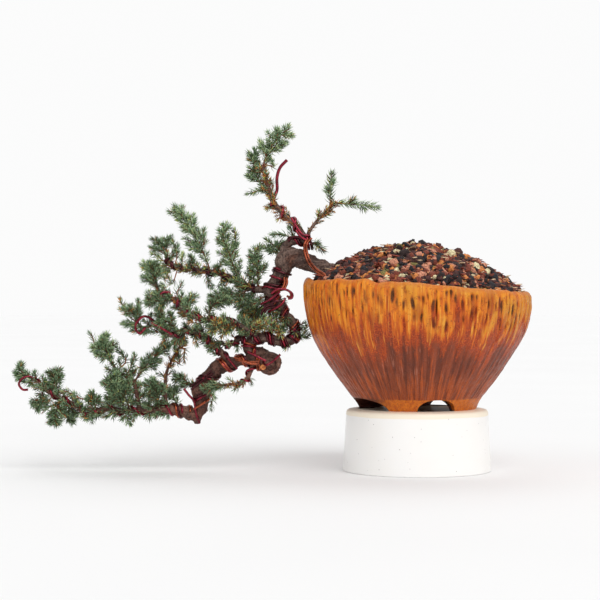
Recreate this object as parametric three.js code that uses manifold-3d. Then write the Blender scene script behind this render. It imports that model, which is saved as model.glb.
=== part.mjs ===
// Cascade juniper bonsai: a wired tree that spills over the rim of a footed bowl on a round plinth.
// Millimetres, +Z up, +X to the right and +Y away from the front. The origin is the centre of the
// plinth's flat underside.

import * as THREE from 'three';
import { mergeVertices } from 'three/addons/utils/BufferGeometryUtils.js';
import Module from 'manifold-3d';

const wasm = await Module();
wasm.setup();

// Driving dimensions
const CLEARANCE = 0.3;
const STAND_HEIGHT = 55;
const STAND_TOP_RADIUS = 63.5;
const STAND_FOOT_RADIUS = 66.6;
const STAND_LIP = 3;
const STAND_SEGMENTS = 32;

const POT_SEGMENTS = 32;
const POT_RIM_Z = 166;
const POT_TILT_START_Z = 105;
const POT_TILT_END_Z = 158;
const RIM_SLOPE = -0.06;
const RIM_WAVE = 1.1;
const RIM_WAVES = 3;
const RIM_WAVE_TURN = 0.6;
const FOOT_HEIGHT = 11;
const FOOT_INNER_RADIUS = 42;
const FOOT_OUTER_RADIUS = 53;
const FOOT_DRAFT = 8;
// Each arch between two feet: its direction, with 0 at the front, and half its width
const ARCHES = [[15, 17.2], [126.5, 31], [204.5, 14], [292, 31.8]];
const ARCH_INNER_REACH = 22;
const ARCH_OUTER_REACH = 68;
const ARCH_SQUARENESS = 0.8;
const ARCH_STEPS = 6;

const MOUND_PEAK_Z = 203;
const MOUND_FALL = 37;
const MOUND_RADIUS = 93.2;
const SOIL_EDGE_RADIUS = 93.2;
const MOUND_RINGS = 8;
// Lumps of the mound: how high they rise, how far apart they lie and where they fade at the rim
const LUMP_RISE = 2.4;
const LUMP_WAVE = 40;
const LUMP_MARGIN = 14;
const GROUND_CUT_Z = 173;
const GROUND_BLOCK = 80;

const TRUNK_SIDES = 8;
const LIMB_SIDES = 6;
const RING_SPACING = 8;

const WIRE_RADIUS = 1;
const WIRE_SIDES = 4;
const WIRE_STEPS_A_TURN = 6;

const SPRAY_CORE_RADIUS = 1.15;
const SPRAY_CORE_TAPER = 0.35;
const SPRAY_STEP = 6.5;
const NEEDLE_LENGTH = 7.4;
const NEEDLE_TAPER = 0.25;
const NEEDLE_LEAN = 52;
const END_NEEDLE_SHARE = 0.8;
const BARE_SHARE = 0.5;
const STEM_STEPS_AT_LEAST = 3;

const SHOOT_TURNS = [0, 180, 75, 335, 155, 265];
const SHOOT_TURN_SPREAD = 50;
const FIRST_SHOOT = 0.22;
const SHOOT_SPAN = 0.7;
const SHOOT_LONGEST = 1.15;
const SHOOT_FADE = 0.55;
const SHOOT_CLOSING = 0.35;
const SHOOT_VARIETY = 0.4;
const ROOT_STEP = 0.1;
const ROOT_SLIDES = [0, 0.12, -0.12, 0.25, -0.25, 0.4, -0.4];
const NEEDLE_GAP = 0.24;
const FIRST_SEED = 11;

// The front view is drawn on the upright plane through the bowl's axis, as seen from this far off.
// A point that lies nearer or farther keeps its place in that view.
const EYE_DISTANCE = 1500;
const EYE_ACROSS = -105.3;
const EYE_UP = 153;

// Materials
const materials = {
  plinth: new THREE.MeshStandardMaterial({ color: 0xe9e4dc, roughness: 0.4 }),
  glaze: new THREE.MeshStandardMaterial({ color: 0xb05a20, roughness: 0.3 }),
  grit: new THREE.MeshStandardMaterial({ color: 0x5a3328, roughness: 0.95 }),
  bark: new THREE.MeshStandardMaterial({ color: 0x6a463b, roughness: 0.9 }),
  wire: new THREE.MeshStandardMaterial({ color: 0xa01f2e, roughness: 0.35, metalness: 0.9 }),
  needles: new THREE.MeshStandardMaterial({ color: 0x4d6b52, roughness: 0.7 }),
};

// Limb routes: across, up, away and the limb's diameter there
const TRUNK_UPPER = [
  [-58, 160.5, 2, 29], [-65, 171, 1, 21], [-74, 176.8, 0, 16], [-90, 183.3, 0, 13.6],
  [-107, 190.5, 0, 17], [-117, 189.5, 0, 19.5], [-121, 179.5, 0, 15], [-126.5, 170, 0, 12.6],
  [-132.5, 161.5, 2, 11.6], [-129, 154, 4, 10.8], [-124.3, 148, 4, 10], [-119, 139.5, 4, 9.8],
  [-111.5, 131, 3, 9.4], [-109, 122, 0, 8.4], [-114, 116.5, -3, 8.2], [-123, 115.5, -5, 8.2],
  [-133, 118.5, -6, 8.2], [-144, 118.5, -6, 8.6], [-151.5, 114, -4, 9.4], [-151, 108, -1, 10],
  [-144, 105, 2, 10.8], [-134, 103, 3, 11.5],
];
const TRUNK_LOWER = [
  [-131, 93, -1, 11], [-142, 96, -3, 10.8], [-151, 99, -4, 9.8], [-160, 98, -4, 9.2],
  [-171, 95, -3, 13], [-181, 90.5, -2, 14], [-190, 80.5, -2, 12.5], [-194.5, 70.5, -2, 17],
  [-193.5, 60, -2, 12], [-197.5, 49, -2, 10.5], [-198, 41.5, -2, 5],
];
const TRUNK_END = [
  [-198, 48.5, -2, 11.5], [-206, 51.3, -2, 11.5], [-214, 53.5, -2, 9.8], [-225, 55, -2, 8],
  [-249, 54, -2, 6.3], [-265.5, 53, -3, 5.4], [-281, 55, -4, 5.2], [-292, 52, -4, 4.6],
  [-299, 51, -4, 4.4], [-311, 60.5, -4, 4], [-323, 65.7, -3, 3.6], [-334, 71.5, -2, 3.2],
  [-341, 79, -1, 2.6], [-351, 83.7, 0, 1.8],
];
const KNOT_CENTRE = [-133, 96, 1];
const KNOT_RADII = [10.5, 8.5, 10.5];
const PRUNED_FACE = [[-137, 94, -2, 6], [-138.5, 92.6, -10.5, 5.6]];
const PRUNED_STUB = [[-146, 117, -4, 6], [-154, 122, 2, 5.2], [-162, 126.5, 4, 4.6]];

const BOUGHS = {
  bough_arch: {
    parent: ['trunk_foot', 'trunk_drop'],
    route: [
      [-121, 192, 0, 8.5], [-119, 200.5, 0, 7.6], [-112, 205.6, 0, 7], [-104, 206, -1, 6.6],
      [-97.5, 205.8, -2, 6.6],
    ],
  },
  bough_leader: {
    parent: ['bough_arch'],
    route: [
      [-101, 207.5, -2, 6.2], [-105.8, 217, -2, 6], [-114.3, 225, -1, 5.6], [-122.4, 233, 0, 5.2],
      [-129, 240.5, 1, 5], [-132.5, 250, 2, 4.6], [-136, 261, 2, 4.2], [-138.8, 272.5, 2, 3.6],
    ],
  },
  bough_side: {
    parent: ['bough_arch', 'bough_leader'],
    route: [
      [-98.6, 208, -4, 3.6], [-96.6, 215, -4.5, 3.2], [-89, 225, -4, 3], [-81, 233, -4, 2.6],
      [-73.8, 240.3, -4, 2.2],
    ],
  },
  bough_second: {
    parent: ['trunk_drop'],
    route: [
      [-133, 162, 2, 7], [-146, 163, 8, 6.2], [-157, 167.5, 12, 5.6], [-177, 176.5, 16, 5],
      [-191, 179, 20, 4.6], [-204, 181, 23, 4.2], [-215, 182.7, 25, 3.8], [-223, 186, 27, 3.4],
      [-226, 192.6, 28, 3],
    ],
  },
  bough_third: {
    parent: ['trunk_hook', 'trunk_knot'],
    route: [
      [-143, 118.5, -6, 5.6], [-148, 124.5, -12, 5.2], [-160, 130.5, -17, 4.8],
      [-177, 135, -21, 4.6], [-191, 135.5, -24, 4.2], [-203, 140, -27, 3.8],
      [-212, 146, -29, 3.4], [-219, 154, -30, 3.1], [-226, 158.5, -30, 2.8], [-233, 162, -30, 2.6],
    ],
  },
  bough_fourth: {
    parent: ['trunk_reach'],
    route: [
      [-171, 95, -3, 6.4], [-175.5, 105, -8, 5.6], [-184.5, 112.5, -12, 5], [-191, 119, -15, 4.6],
      [-198, 124, -18, 4.4], [-209, 125, -20, 4], [-218, 121, -22, 3.8], [-227, 123, -23, 3.4],
      [-237, 129.5, -24, 3], [-246.5, 128, -25, 2.6],
    ],
  },
  bough_stub: {
    parent: ['trunk_knot', 'trunk_hook'],
    route: [
      [-151, 114, -4.5, 5.4], [-159, 118, -7, 4.8], [-165.6, 113.5, -9, 4.4],
      [-172, 112.5, -10, 3.8], [-177, 116, -11, 3],
    ],
  },
  bough_under: {
    parent: ['trunk_reach', 'trunk_knot'],
    route: [
      [-147, 97, -3.5, 5], [-150, 88.5, -8, 4.4], [-154, 81, -11, 3.9], [-160, 77.5, -13, 3.4],
      [-170, 77, -15, 2.6],
    ],
  },
  bough_link: {
    parent: ['trunk_tail'],
    route: [
      [-225, 55, -2, 4], [-226.5, 66, 0, 3.2], [-226, 85, 3, 2.9], [-222, 96, 5, 2.7],
      [-217, 105, 7, 2.5], [-211.5, 114.3, 9, 2.2],
    ],
  },
  bough_low: {
    parent: ['trunk_tail'],
    route: [
      [-249, 54, -2, 4.4], [-252, 66, -6, 3.8], [-254, 77, -9, 3.6], [-260, 83, -11, 3.3],
      [-268, 88.5, -13, 3], [-274.5, 95.5, -15, 2.6],
    ],
  },
};

// Training wires: coils wound on a limb between two places of its route, with free ends
const WIRES = {
  wire_anchor: {
    before: [
      [-99, 204, -7], [-101, 196, -11], [-98, 187, -15], [-92, 179.5, -24], [-84.5, 174.5, -31],
      [-80, 169, -34],
    ],
  },
  wire_leader: {
    limb: 'bough_leader', from: 0.9, to: 4.2, turns: 3.5, phase: 20,
    after: [[-126, 252, 2], [-126, 263, 1], [-123.3, 272, 0], [-117, 279, 0]],
  },
  wire_drop: { limb: 'trunk_upper', from: 5.6, to: 12.4, turns: 3.8, phase: 45 },
  wire_reach: { limb: 'trunk_lower', from: 1.6, to: 8.4, turns: 4.1, phase: 345 },
  wire_tail: {
    limb: 'trunk_end', from: 1.6, to: 12.2, turns: 8.4, phase: 170,
    after: [[-349, 84, -4], [-355, 82.5, -5], [-358.3, 77.4, -5], [-355, 72.5, -5], [-350, 72.3, -5]],
  },
};

// Foliage masses. Each stem leaves its limb at one place of the limb's route. Heading is the stem's
// angle in the front view, 0 to the right and 90 up, and away tips it behind the front view.
const MASSES = {
  crown_tip: {
    limb: 'bough_leader', place: 7, heading: 76, away: -4,
    length: 43, bend: -42, shoots: 5, reach: 14, spread: 55,
  },
  crown_left: {
    limb: 'bough_leader', place: 4.7, heading: 132, away: 14,
    length: 40, bend: -56, shoots: 4, reach: 10, spread: 46,
  },
  side_up: {
    limb: 'bough_side', place: 3.5, heading: 96, away: 4,
    length: 28, bend: -16, shoots: 2, reach: 7, spread: 40,
  },
  side_right: {
    limb: 'bough_side', place: 4, heading: -2, away: -3,
    length: 38, bend: -8, shoots: 2, reach: 7, spread: 46,
  },
  side_low: {
    limb: 'bough_arch', place: 4, heading: -27, away: -22,
    length: 16, bend: -12, shoots: 1, reach: 4, spread: 45,
  },
  knuckle_fan: {
    limb: 'trunk_upper', place: 5.7, heading: 112, away: 28,
    length: 14, bend: -20, shoots: 5, reach: 14, spread: 56,
  },
  shoulder: {
    limb: 'bough_second', place: 0.8, heading: 86, away: -26,
    length: 38, bend: 18, shoots: 5, reach: 12, spread: 50,
  },
  second_rise: {
    limb: 'bough_second', place: 2, heading: 118, away: -12,
    length: 52, bend: -22, shoots: 5, reach: 13, spread: 46,
  },
  second_tall: {
    limb: 'bough_second', place: 3.6, heading: 109, away: 14,
    length: 69, bend: 22, shoots: 7, reach: 15, spread: 46,
  },
  second_tip: {
    limb: 'bough_second', place: 8, heading: 112, away: 8,
    length: 15, bend: 0, shoots: 4, reach: 14, spread: 52,
  },
  second_light: {
    limb: 'bough_second', place: 6.9, heading: 205, away: -8,
    length: 22, bend: -42, shoots: 3, reach: 9, spread: 46,
  },
  second_inner: {
    limb: 'bough_second', place: 1.2, heading: -105, away: 38,
    length: 33, bend: -20, shoots: 4, reach: 12, spread: 52,
  },
  second_front: {
    limb: 'bough_second', place: 1.35, heading: 216, away: -34,
    length: 41, bend: -50, shoots: 4, reach: 11, spread: 46,
  },
  third_curl: {
    limb: 'bough_third', place: 3.7, heading: 93, away: -8,
    length: 29, bend: -115, shoots: 3, reach: 8, spread: 44,
  },
  third_tip: {
    limb: 'bough_third', place: 9, heading: 125, away: -4,
    length: 25, bend: -60, shoots: 4, reach: 11, spread: 50,
  },
  third_mid: {
    limb: 'bough_third', place: 5.2, heading: 102, away: 32,
    length: 13, bend: 12, shoots: 4, reach: 12, spread: 52,
  },
  third_under: {
    limb: 'bough_third', place: 7, heading: 196, away: -30,
    length: 23, bend: -34, shoots: 4, reach: 11, spread: 50,
  },
  third_root: {
    limb: 'bough_third', place: 1.9, heading: 178, away: -46,
    length: 30, bend: 8, shoots: 4, reach: 11, spread: 50,
  },
  fourth_mid: {
    limb: 'bough_fourth', place: 5.5, heading: 128, away: -26,
    length: 26, bend: 30, shoots: 5, reach: 12, spread: 52,
  },
  fourth_fall: {
    limb: 'bough_fourth', place: 4.8, heading: -138, away: 38,
    length: 17, bend: -20, shoots: 3, reach: 9, spread: 50,
  },
  fourth_tip: {
    limb: 'bough_fourth', place: 9, heading: 140, away: -6,
    length: 20, bend: -40, shoots: 4, reach: 16, spread: 54,
  },
  drop_fringe: {
    limb: 'trunk_upper', place: 9.05, heading: -152, away: 22,
    length: 31, bend: 30, shoots: 5, reach: 12, spread: 48,
  },
  low_tip: {
    limb: 'bough_low', place: 5, heading: 110, away: -18,
    length: 24, bend: 6, shoots: 6, reach: 15, spread: 52,
  },
  low_rise: {
    limb: 'bough_low', place: 2.2, heading: 58, away: 14,
    length: 47, bend: -24, shoots: 4, reach: 10, spread: 46,
  },
  tail_broad: {
    limb: 'trunk_end', place: 4.45, heading: 112, away: -36,
    length: 39, bend: 14, shoots: 6, reach: 15, spread: 52,
  },
  tail_left: {
    limb: 'trunk_end', place: 5.05, heading: 108, away: 32,
    length: 35, bend: 10, shoots: 5, reach: 13, spread: 52,
  },
  tail_root: {
    limb: 'trunk_end', place: 3.3, heading: 98, away: -44,
    length: 34, bend: 0, shoots: 4, reach: 12, spread: 50,
  },
  tail_inner: {
    limb: 'trunk_end', place: 1.9, heading: 118, away: 20,
    length: 16, bend: -6, shoots: 4, reach: 11, spread: 50,
  },
  reach_feather: {
    limb: 'trunk_lower', place: 6.7, heading: 158, away: -6,
    length: 18, bend: -10, shoots: 3, reach: 7, spread: 42,
  },
  tail_mid: {
    limb: 'trunk_end', place: 6.63, heading: 98, away: -34,
    length: 15, bend: 8, shoots: 3, reach: 8, spread: 50,
  },
  tail_brush: {
    limb: 'trunk_end', place: 9.9, heading: 114, away: 22,
    length: 23, bend: -24, shoots: 5, reach: 11, spread: 46,
  },
  tail_hang: {
    limb: 'trunk_end', place: 9.15, heading: -100, away: 32,
    length: 18, bend: 6, shoots: 4, reach: 9, spread: 52,
  },
  tail_fall: {
    limb: 'trunk_end', place: 9.8, heading: -104, away: -30,
    length: 22, bend: 0, shoots: 4, reach: 11, spread: 46,
  },
  tip_hang: {
    limb: 'trunk_end', place: 11.2, heading: -108, away: -24,
    length: 15, bend: 0, shoots: 3, reach: 10, spread: 46,
  },
  tail_tip: {
    limb: 'trunk_end', place: 13, heading: 140, away: 0,
    length: 10, bend: -12, shoots: 2, reach: 8, spread: 46,
  },
  under_spray: {
    limb: 'bough_under', place: 4, heading: 178, away: -12,
    length: 22, bend: 30, shoots: 3, reach: 7, spread: 40,
  },
};

const rad = THREE.MathUtils.degToRad;

// A repeatable run of numbers from 0 to 1
function dice(seed) {
  let state = seed >>> 0;
  return () => {
    state = (state + 0x6d2b79f5) >>> 0;
    let mixed = Math.imul(state ^ (state >>> 15), 1 | state);
    mixed = (mixed + Math.imul(mixed ^ (mixed >>> 7), 61 | mixed)) ^ mixed;
    return ((mixed ^ (mixed >>> 14)) >>> 0) / 4294967296;
  };
}

// A point of the front view, set at its own distance from the eye
function placed([across, up, away]) {
  const scale = (EYE_DISTANCE + away) / EYE_DISTANCE;
  return new THREE.Vector3(
    EYE_ACROSS + (across - EYE_ACROSS) * scale,
    away,
    EYE_UP + (up - EYE_UP) * scale,
  );
}

// A closed geometry as a solid, and a solid as a geometry
function solid(geometry) {
  const bare = geometry.clone();
  bare.deleteAttribute('normal');
  bare.deleteAttribute('uv');
  const welded = mergeVertices(bare);
  return new wasm.Manifold(new wasm.Mesh({
    numProp: 3,
    vertProperties: new Float32Array(welded.attributes.position.array),
    triVerts: new Uint32Array(welded.index.array),
  }));
}

function geometryOf(body) {
  const mesh = body.getMesh();
  const corners = new Float32Array((mesh.vertProperties.length / mesh.numProp) * 3);
  for (let i = 0; i < corners.length / 3; i += 1) {
    for (let axis = 0; axis < 3; axis += 1) {
      corners[i * 3 + axis] = mesh.vertProperties[i * mesh.numProp + axis];
    }
  }
  const geometry = new THREE.BufferGeometry();
  geometry.setAttribute('position', new THREE.BufferAttribute(corners, 3));
  geometry.setIndex(new THREE.BufferAttribute(new Uint32Array(mesh.triVerts), 1));
  geometry.computeVertexNormals();
  return geometry;
}

function closedGeometry(points, triangles) {
  const geometry = new THREE.BufferGeometry();
  const corners = new Float32Array(points.flatMap((point) => [point.x, point.y, point.z]));
  geometry.setAttribute('position', new THREE.BufferAttribute(corners, 3));
  geometry.setIndex(triangles);
  return geometry;
}

// Directions across a path that turn with it as little as they can. Ends may be given the way they face.
function pathFrames(path, ends = []) {
  const frames = [];
  const last = path.length - 1;
  let across = null;
  path.forEach((point, i) => {
    const before = path[Math.max(i - 1, 0)];
    const after = path[Math.min(i + 1, last)];
    let along = after.clone().sub(before).normalize();
    if (ends.length && (i === 0 || i === last)) {
      along = ends[i === 0 ? 0 : 1];
    }
    if (!across) {
      across = Math.abs(along.y) < 0.9 ? new THREE.Vector3(0, 1, 0) : new THREE.Vector3(1, 0, 0);
    }
    across = across.clone().addScaledVector(along, -across.dot(along)).normalize();
    frames.push({ along, across, side: along.clone().cross(across) });
  });
  return frames;
}

// A tube of changing radius with flat ends
function tube(path, radii, sides, ends = []) {
  const frames = pathFrames(path, ends);
  const points = [];
  const triangles = [];
  path.forEach((centre, i) => {
    for (let j = 0; j < sides; j += 1) {
      const angle = (2 * Math.PI * j) / sides;
      points.push(centre.clone()
        .addScaledVector(frames[i].across, radii[i] * Math.cos(angle))
        .addScaledVector(frames[i].side, radii[i] * Math.sin(angle)));
    }
  });
  for (let i = 0; i < path.length - 1; i += 1) {
    for (let j = 0; j < sides; j += 1) {
      const here = i * sides + j;
      const next = i * sides + ((j + 1) % sides);
      triangles.push(here, next, next + sides, here, next + sides, here + sides);
    }
  }
  const last = (path.length - 1) * sides;
  for (let j = 1; j < sides - 1; j += 1) {
    triangles.push(0, j + 1, j);
    triangles.push(last, last + j, last + j + 1);
  }
  return closedGeometry(points, triangles);
}

// A limb's centre line through its route, read by the number of a route point
function limbOf(route) {
  const points = route.map(placed);
  const curve = new THREE.CatmullRomCurve3(points, false, 'catmullrom', 0.5);
  const last = route.length - 1;
  const radiusAt = (place) => {
    const low = Math.min(Math.floor(place), last - 1);
    return THREE.MathUtils.lerp(route[low][3], route[low + 1][3], place - low) / 2;
  };
  return {
    last,
    pointAt: (place) => curve.getPoint(place / last),
    alongAt: (place) => curve.getTangent(Math.min(Math.max(place / last, 0), 1)).normalize(),
    radiusAt,
  };
}

// The part of a limb between two places of its route, made thicker and longer by swell
function limbSolid(limb, from, to, sides, swell = 0, startGap = 0, endGap = 0) {
  const path = [];
  const radii = [];
  const places = [];
  for (let place = Math.floor(from); place < to; place += 1) {
    const low = Math.max(place, from);
    const high = Math.min(place + 1, to);
    if (high > low) {
      const span = limb.pointAt(low).distanceTo(limb.pointAt(high));
      const steps = Math.max(1, Math.round(span / RING_SPACING));
      for (let i = 0; i < steps; i += 1) {
        places.push(low + ((high - low) * i) / steps);
      }
    }
  }
  places.push(to);
  places.forEach((place) => {
    path.push(limb.pointAt(place));
    radii.push(limb.radiusAt(place) + swell);
  });
  const ends = [limb.alongAt(from), limb.alongAt(to)];
  path[0].addScaledVector(ends[0], startGap - swell);
  path[path.length - 1].addScaledVector(ends[1], swell - endGap);
  return solid(tube(path, radii, sides, ends));
}

function joined(bodies) {
  return bodies.reduce((whole, body) => whole.add(body));
}

// The largest closed shell of a body: loose scraps and sealed hollows are left out
function mainShell(body) {
  return body.decompose().reduce((best, shell) => (shell.volume() > best.volume() ? shell : best));
}

function ellipsoid(centre, radii, swell) {
  const geometry = new THREE.SphereGeometry(1, 10, 6);
  geometry.scale(radii[0] + swell, radii[1] + swell, radii[2] + swell);
  geometry.translate(centre.x, centre.y, centre.z);
  return solid(geometry);
}

const group = new THREE.Group();
const bodies = new Map();

function addNode(name, body, material) {
  const shell = mainShell(body);
  const mesh = new THREE.Mesh(geometryOf(shell), material);
  mesh.name = name;
  group.add(mesh);
  bodies.set(name, shell);
}

// How the rim dips and waves: the same at the bowl's wall and the soil that fills it
function rimLift(x, y, z) {
  const weight = THREE.MathUtils.smoothstep(z, POT_TILT_START_Z, POT_TILT_END_Z);
  const turn = Math.atan2(y, x);
  return weight * (RIM_SLOPE * x + RIM_WAVE * Math.sin(RIM_WAVES * turn + RIM_WAVE_TURN));
}

function liftRim(geometry) {
  const position = geometry.attributes.position;
  for (let i = 0; i < position.count; i += 1) {
    const x = position.getX(i);
    const y = position.getY(i);
    const z = position.getZ(i);
    position.setZ(i, z + rimLift(x, y, z));
  }
  return geometry;
}

function lathe(profile, segments) {
  const geometry = new THREE.LatheGeometry(profile.map(([r, z]) => new THREE.Vector2(r, z)), segments);
  geometry.rotateX(Math.PI / 2);
  return geometry;
}

// Plinth: a solid round block with a rounded lip
function stand() {
  const lip = [0, 45, 90].map((angle) => [
    STAND_TOP_RADIUS - STAND_LIP * (1 - Math.cos(rad(angle))),
    STAND_HEIGHT - STAND_LIP * (1 - Math.sin(rad(angle))),
  ]);
  return solid(lathe([
    [0, 0],
    [STAND_FOOT_RADIUS, 0],
    ...lip,
    [0, STAND_HEIGHT],
  ], STAND_SEGMENTS));
}

// Bowl: wall, floor and foot ring in one, with four arches cut through the foot ring
const POT_BASE_Z = STAND_HEIGHT + CLEARANCE;
const POT_FLOOR_Z = 74;
const OUTER_WALL = [
  [56.7, 64], [63.9, 73.4], [77.4, 91.4], [91.8, 114.3], [98.4, 130], [101.7, 146], [102.4, 154],
];
const RIM_LIP = [[102, 161.5], [99.5, 165.6], [96.5, POT_RIM_Z], [94.6, 164]];
const INNER_WALL = [[52, 76], [70, 90], [84, 112], [90, 130], [93, 148], [94, 160]];

function archPrism([angle, halfWidth]) {
  const outline = [new THREE.Vector2(-halfWidth, -1), new THREE.Vector2(halfWidth, -1)];
  for (let i = 1; i < ARCH_STEPS; i += 1) {
    const across = Math.cos((Math.PI * i) / ARCH_STEPS);
    const up = Math.sin((Math.PI * i) / ARCH_STEPS);
    outline.push(new THREE.Vector2(
      halfWidth * Math.sign(across) * Math.abs(across) ** ARCH_SQUARENESS,
      FOOT_HEIGHT * up ** ARCH_SQUARENESS,
    ));
  }
  const depth = ARCH_OUTER_REACH - ARCH_INNER_REACH;
  const prism = new THREE.ExtrudeGeometry(new THREE.Shape(outline), { depth, bevelEnabled: false });
  prism.rotateX(Math.PI / 2);
  prism.translate(0, -ARCH_INNER_REACH, STAND_HEIGHT);
  prism.rotateZ(rad(angle));
  return solid(prism);
}

function pot() {
  const underside = STAND_HEIGHT + FOOT_HEIGHT;
  const wall = solid(liftRim(lathe([
    [0, underside],
    [FOOT_INNER_RADIUS - FOOT_DRAFT, underside],
    [FOOT_INNER_RADIUS, POT_BASE_Z],
    [FOOT_OUTER_RADIUS, POT_BASE_Z],
    ...OUTER_WALL,
    ...RIM_LIP,
    ...[...INNER_WALL].reverse(),
    [0, POT_FLOOR_Z],
  ], POT_SEGMENTS)));
  return wall.subtract(joined(ARCHES.map(archPrism)));
}

// Soil: fills the bowl under a lumpy mound, with a pocket for the trunk's foot
function moundHeight(radius) {
  return MOUND_PEAK_Z - MOUND_FALL * (radius / MOUND_RADIUS) ** 2;
}

function lumpRise(x, y) {
  const wave = (2 * Math.PI) / LUMP_WAVE;
  const inside = Math.min((SOIL_EDGE_RADIUS - Math.hypot(x, y)) / LUMP_MARGIN, 1);
  return LUMP_RISE * inside * Math.sin(wave * x + Math.sin(wave * y)) * Math.cos(wave * y + Math.sin(wave * x));
}

function raiseLumps(geometry) {
  const position = geometry.attributes.position;
  for (let i = 0; i < position.count; i += 1) {
    if (position.getZ(i) > POT_RIM_Z) {
      position.setZ(i, position.getZ(i) + lumpRise(position.getX(i), position.getY(i)));
    }
  }
  return geometry;
}

function soil(pocket) {
  const wall = INNER_WALL.map(([r, z]) => [r - CLEARANCE, z]);
  const mound = [];
  for (let ring = MOUND_RINGS; ring > 0; ring -= 1) {
    const radius = (SOIL_EDGE_RADIUS * ring) / MOUND_RINGS;
    mound.push([radius, moundHeight(radius)]);
  }
  const filling = solid(liftRim(raiseLumps(lathe([
    [0, POT_FLOOR_Z + CLEARANCE],
    ...wall,
    ...mound,
    [0, MOUND_PEAK_Z],
  ], POT_SEGMENTS))));
  return filling.subtract(pocket);
}

// Trunk: cut flat in the soil, over the rim, down, round a hook, a knot, and out to the tail
const limbs = {
  trunk_upper: limbOf(TRUNK_UPPER),
  trunk_lower: limbOf(TRUNK_LOWER),
  trunk_end: limbOf(TRUNK_END),
};
const UPPER_BREAKS = {
  trunk_foot: [0, 5],
  trunk_drop: [5, 11],
  trunk_hook: [11, 16],
  trunk_knot: [16, 21],
};

function knot(swell) {
  const [from, to] = UPPER_BREAKS.trunk_knot;
  return joined([
    limbSolid(limbs.trunk_upper, from, to, TRUNK_SIDES, swell, CLEARANCE / 2),
    ellipsoid(placed(KNOT_CENTRE), KNOT_RADII, swell),
    limbSolid(limbOf(PRUNED_FACE), 0, 1, TRUNK_SIDES, swell),
    limbSolid(limbOf(PRUNED_STUB), 0, 2, TRUNK_SIDES, swell),
  ]);
}

function belowGround() {
  const block = new THREE.BoxGeometry(GROUND_BLOCK, GROUND_BLOCK, GROUND_BLOCK);
  block.translate(TRUNK_UPPER[0][0], 0, GROUND_CUT_Z - GROUND_BLOCK / 2);
  return solid(block);
}

function upperPart(name, swell) {
  const [from, to] = UPPER_BREAKS[name];
  const startGap = from > 0 ? CLEARANCE / 2 : 0;
  return limbSolid(limbs.trunk_upper, from, to, TRUNK_SIDES, swell, startGap, CLEARANCE / 2);
}

function trunkPart(name, swell = 0) {
  if (name === 'trunk_knot') {
    return knot(swell);
  }
  if (name === 'trunk_reach') {
    return limbSolid(limbs.trunk_lower, 0, limbs.trunk_lower.last, TRUNK_SIDES, swell);
  }
  if (name === 'trunk_tail') {
    return limbSolid(limbs.trunk_end, 0, limbs.trunk_end.last, LIMB_SIDES, swell);
  }
  return upperPart(name, swell);
}

// Wires: a coil that rides on its limb, with free ends
function coil(limb, from, to, turns, phase) {
  const path = [];
  const steps = Math.round(turns * WIRE_STEPS_A_TURN);
  const walk = [];
  for (let i = 0; i <= steps; i += 1) {
    walk.push(limb.pointAt(from + ((to - from) * i) / steps));
  }
  const frames = pathFrames(walk);
  walk.forEach((centre, i) => {
    const place = from + ((to - from) * i) / steps;
    const angle = rad(phase) + (2 * Math.PI * turns * i) / steps;
    const offset = (limb.radiusAt(place) + WIRE_RADIUS + CLEARANCE) / Math.cos(Math.PI / WIRE_STEPS_A_TURN);
    path.push(centre.clone()
      .addScaledVector(frames[i].across, offset * Math.cos(angle))
      .addScaledVector(frames[i].side, offset * Math.sin(angle)));
  });
  return path;
}

function freeEnd(points) {
  const curve = new THREE.CatmullRomCurve3(points, false, 'catmullrom', 0.5);
  return curve.getPoints(points.length * 2);
}

function wirePath(wire) {
  const lead = wire.before ? freeEnd(wire.before.map(placed)) : [];
  const wound = wire.limb ? coil(limbs[wire.limb], wire.from, wire.to, wire.turns, wire.phase) : [];
  const after = wire.after
    ? freeEnd([wound[wound.length - 1], ...wire.after.map(placed)]).slice(1)
    : [];
  return [...lead, ...wound, ...after];
}

function wireSolid(wire, swell = 0) {
  const path = wirePath(wire);
  return solid(tube(path, path.map(() => WIRE_RADIUS + swell), WIRE_SIDES));
}

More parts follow.
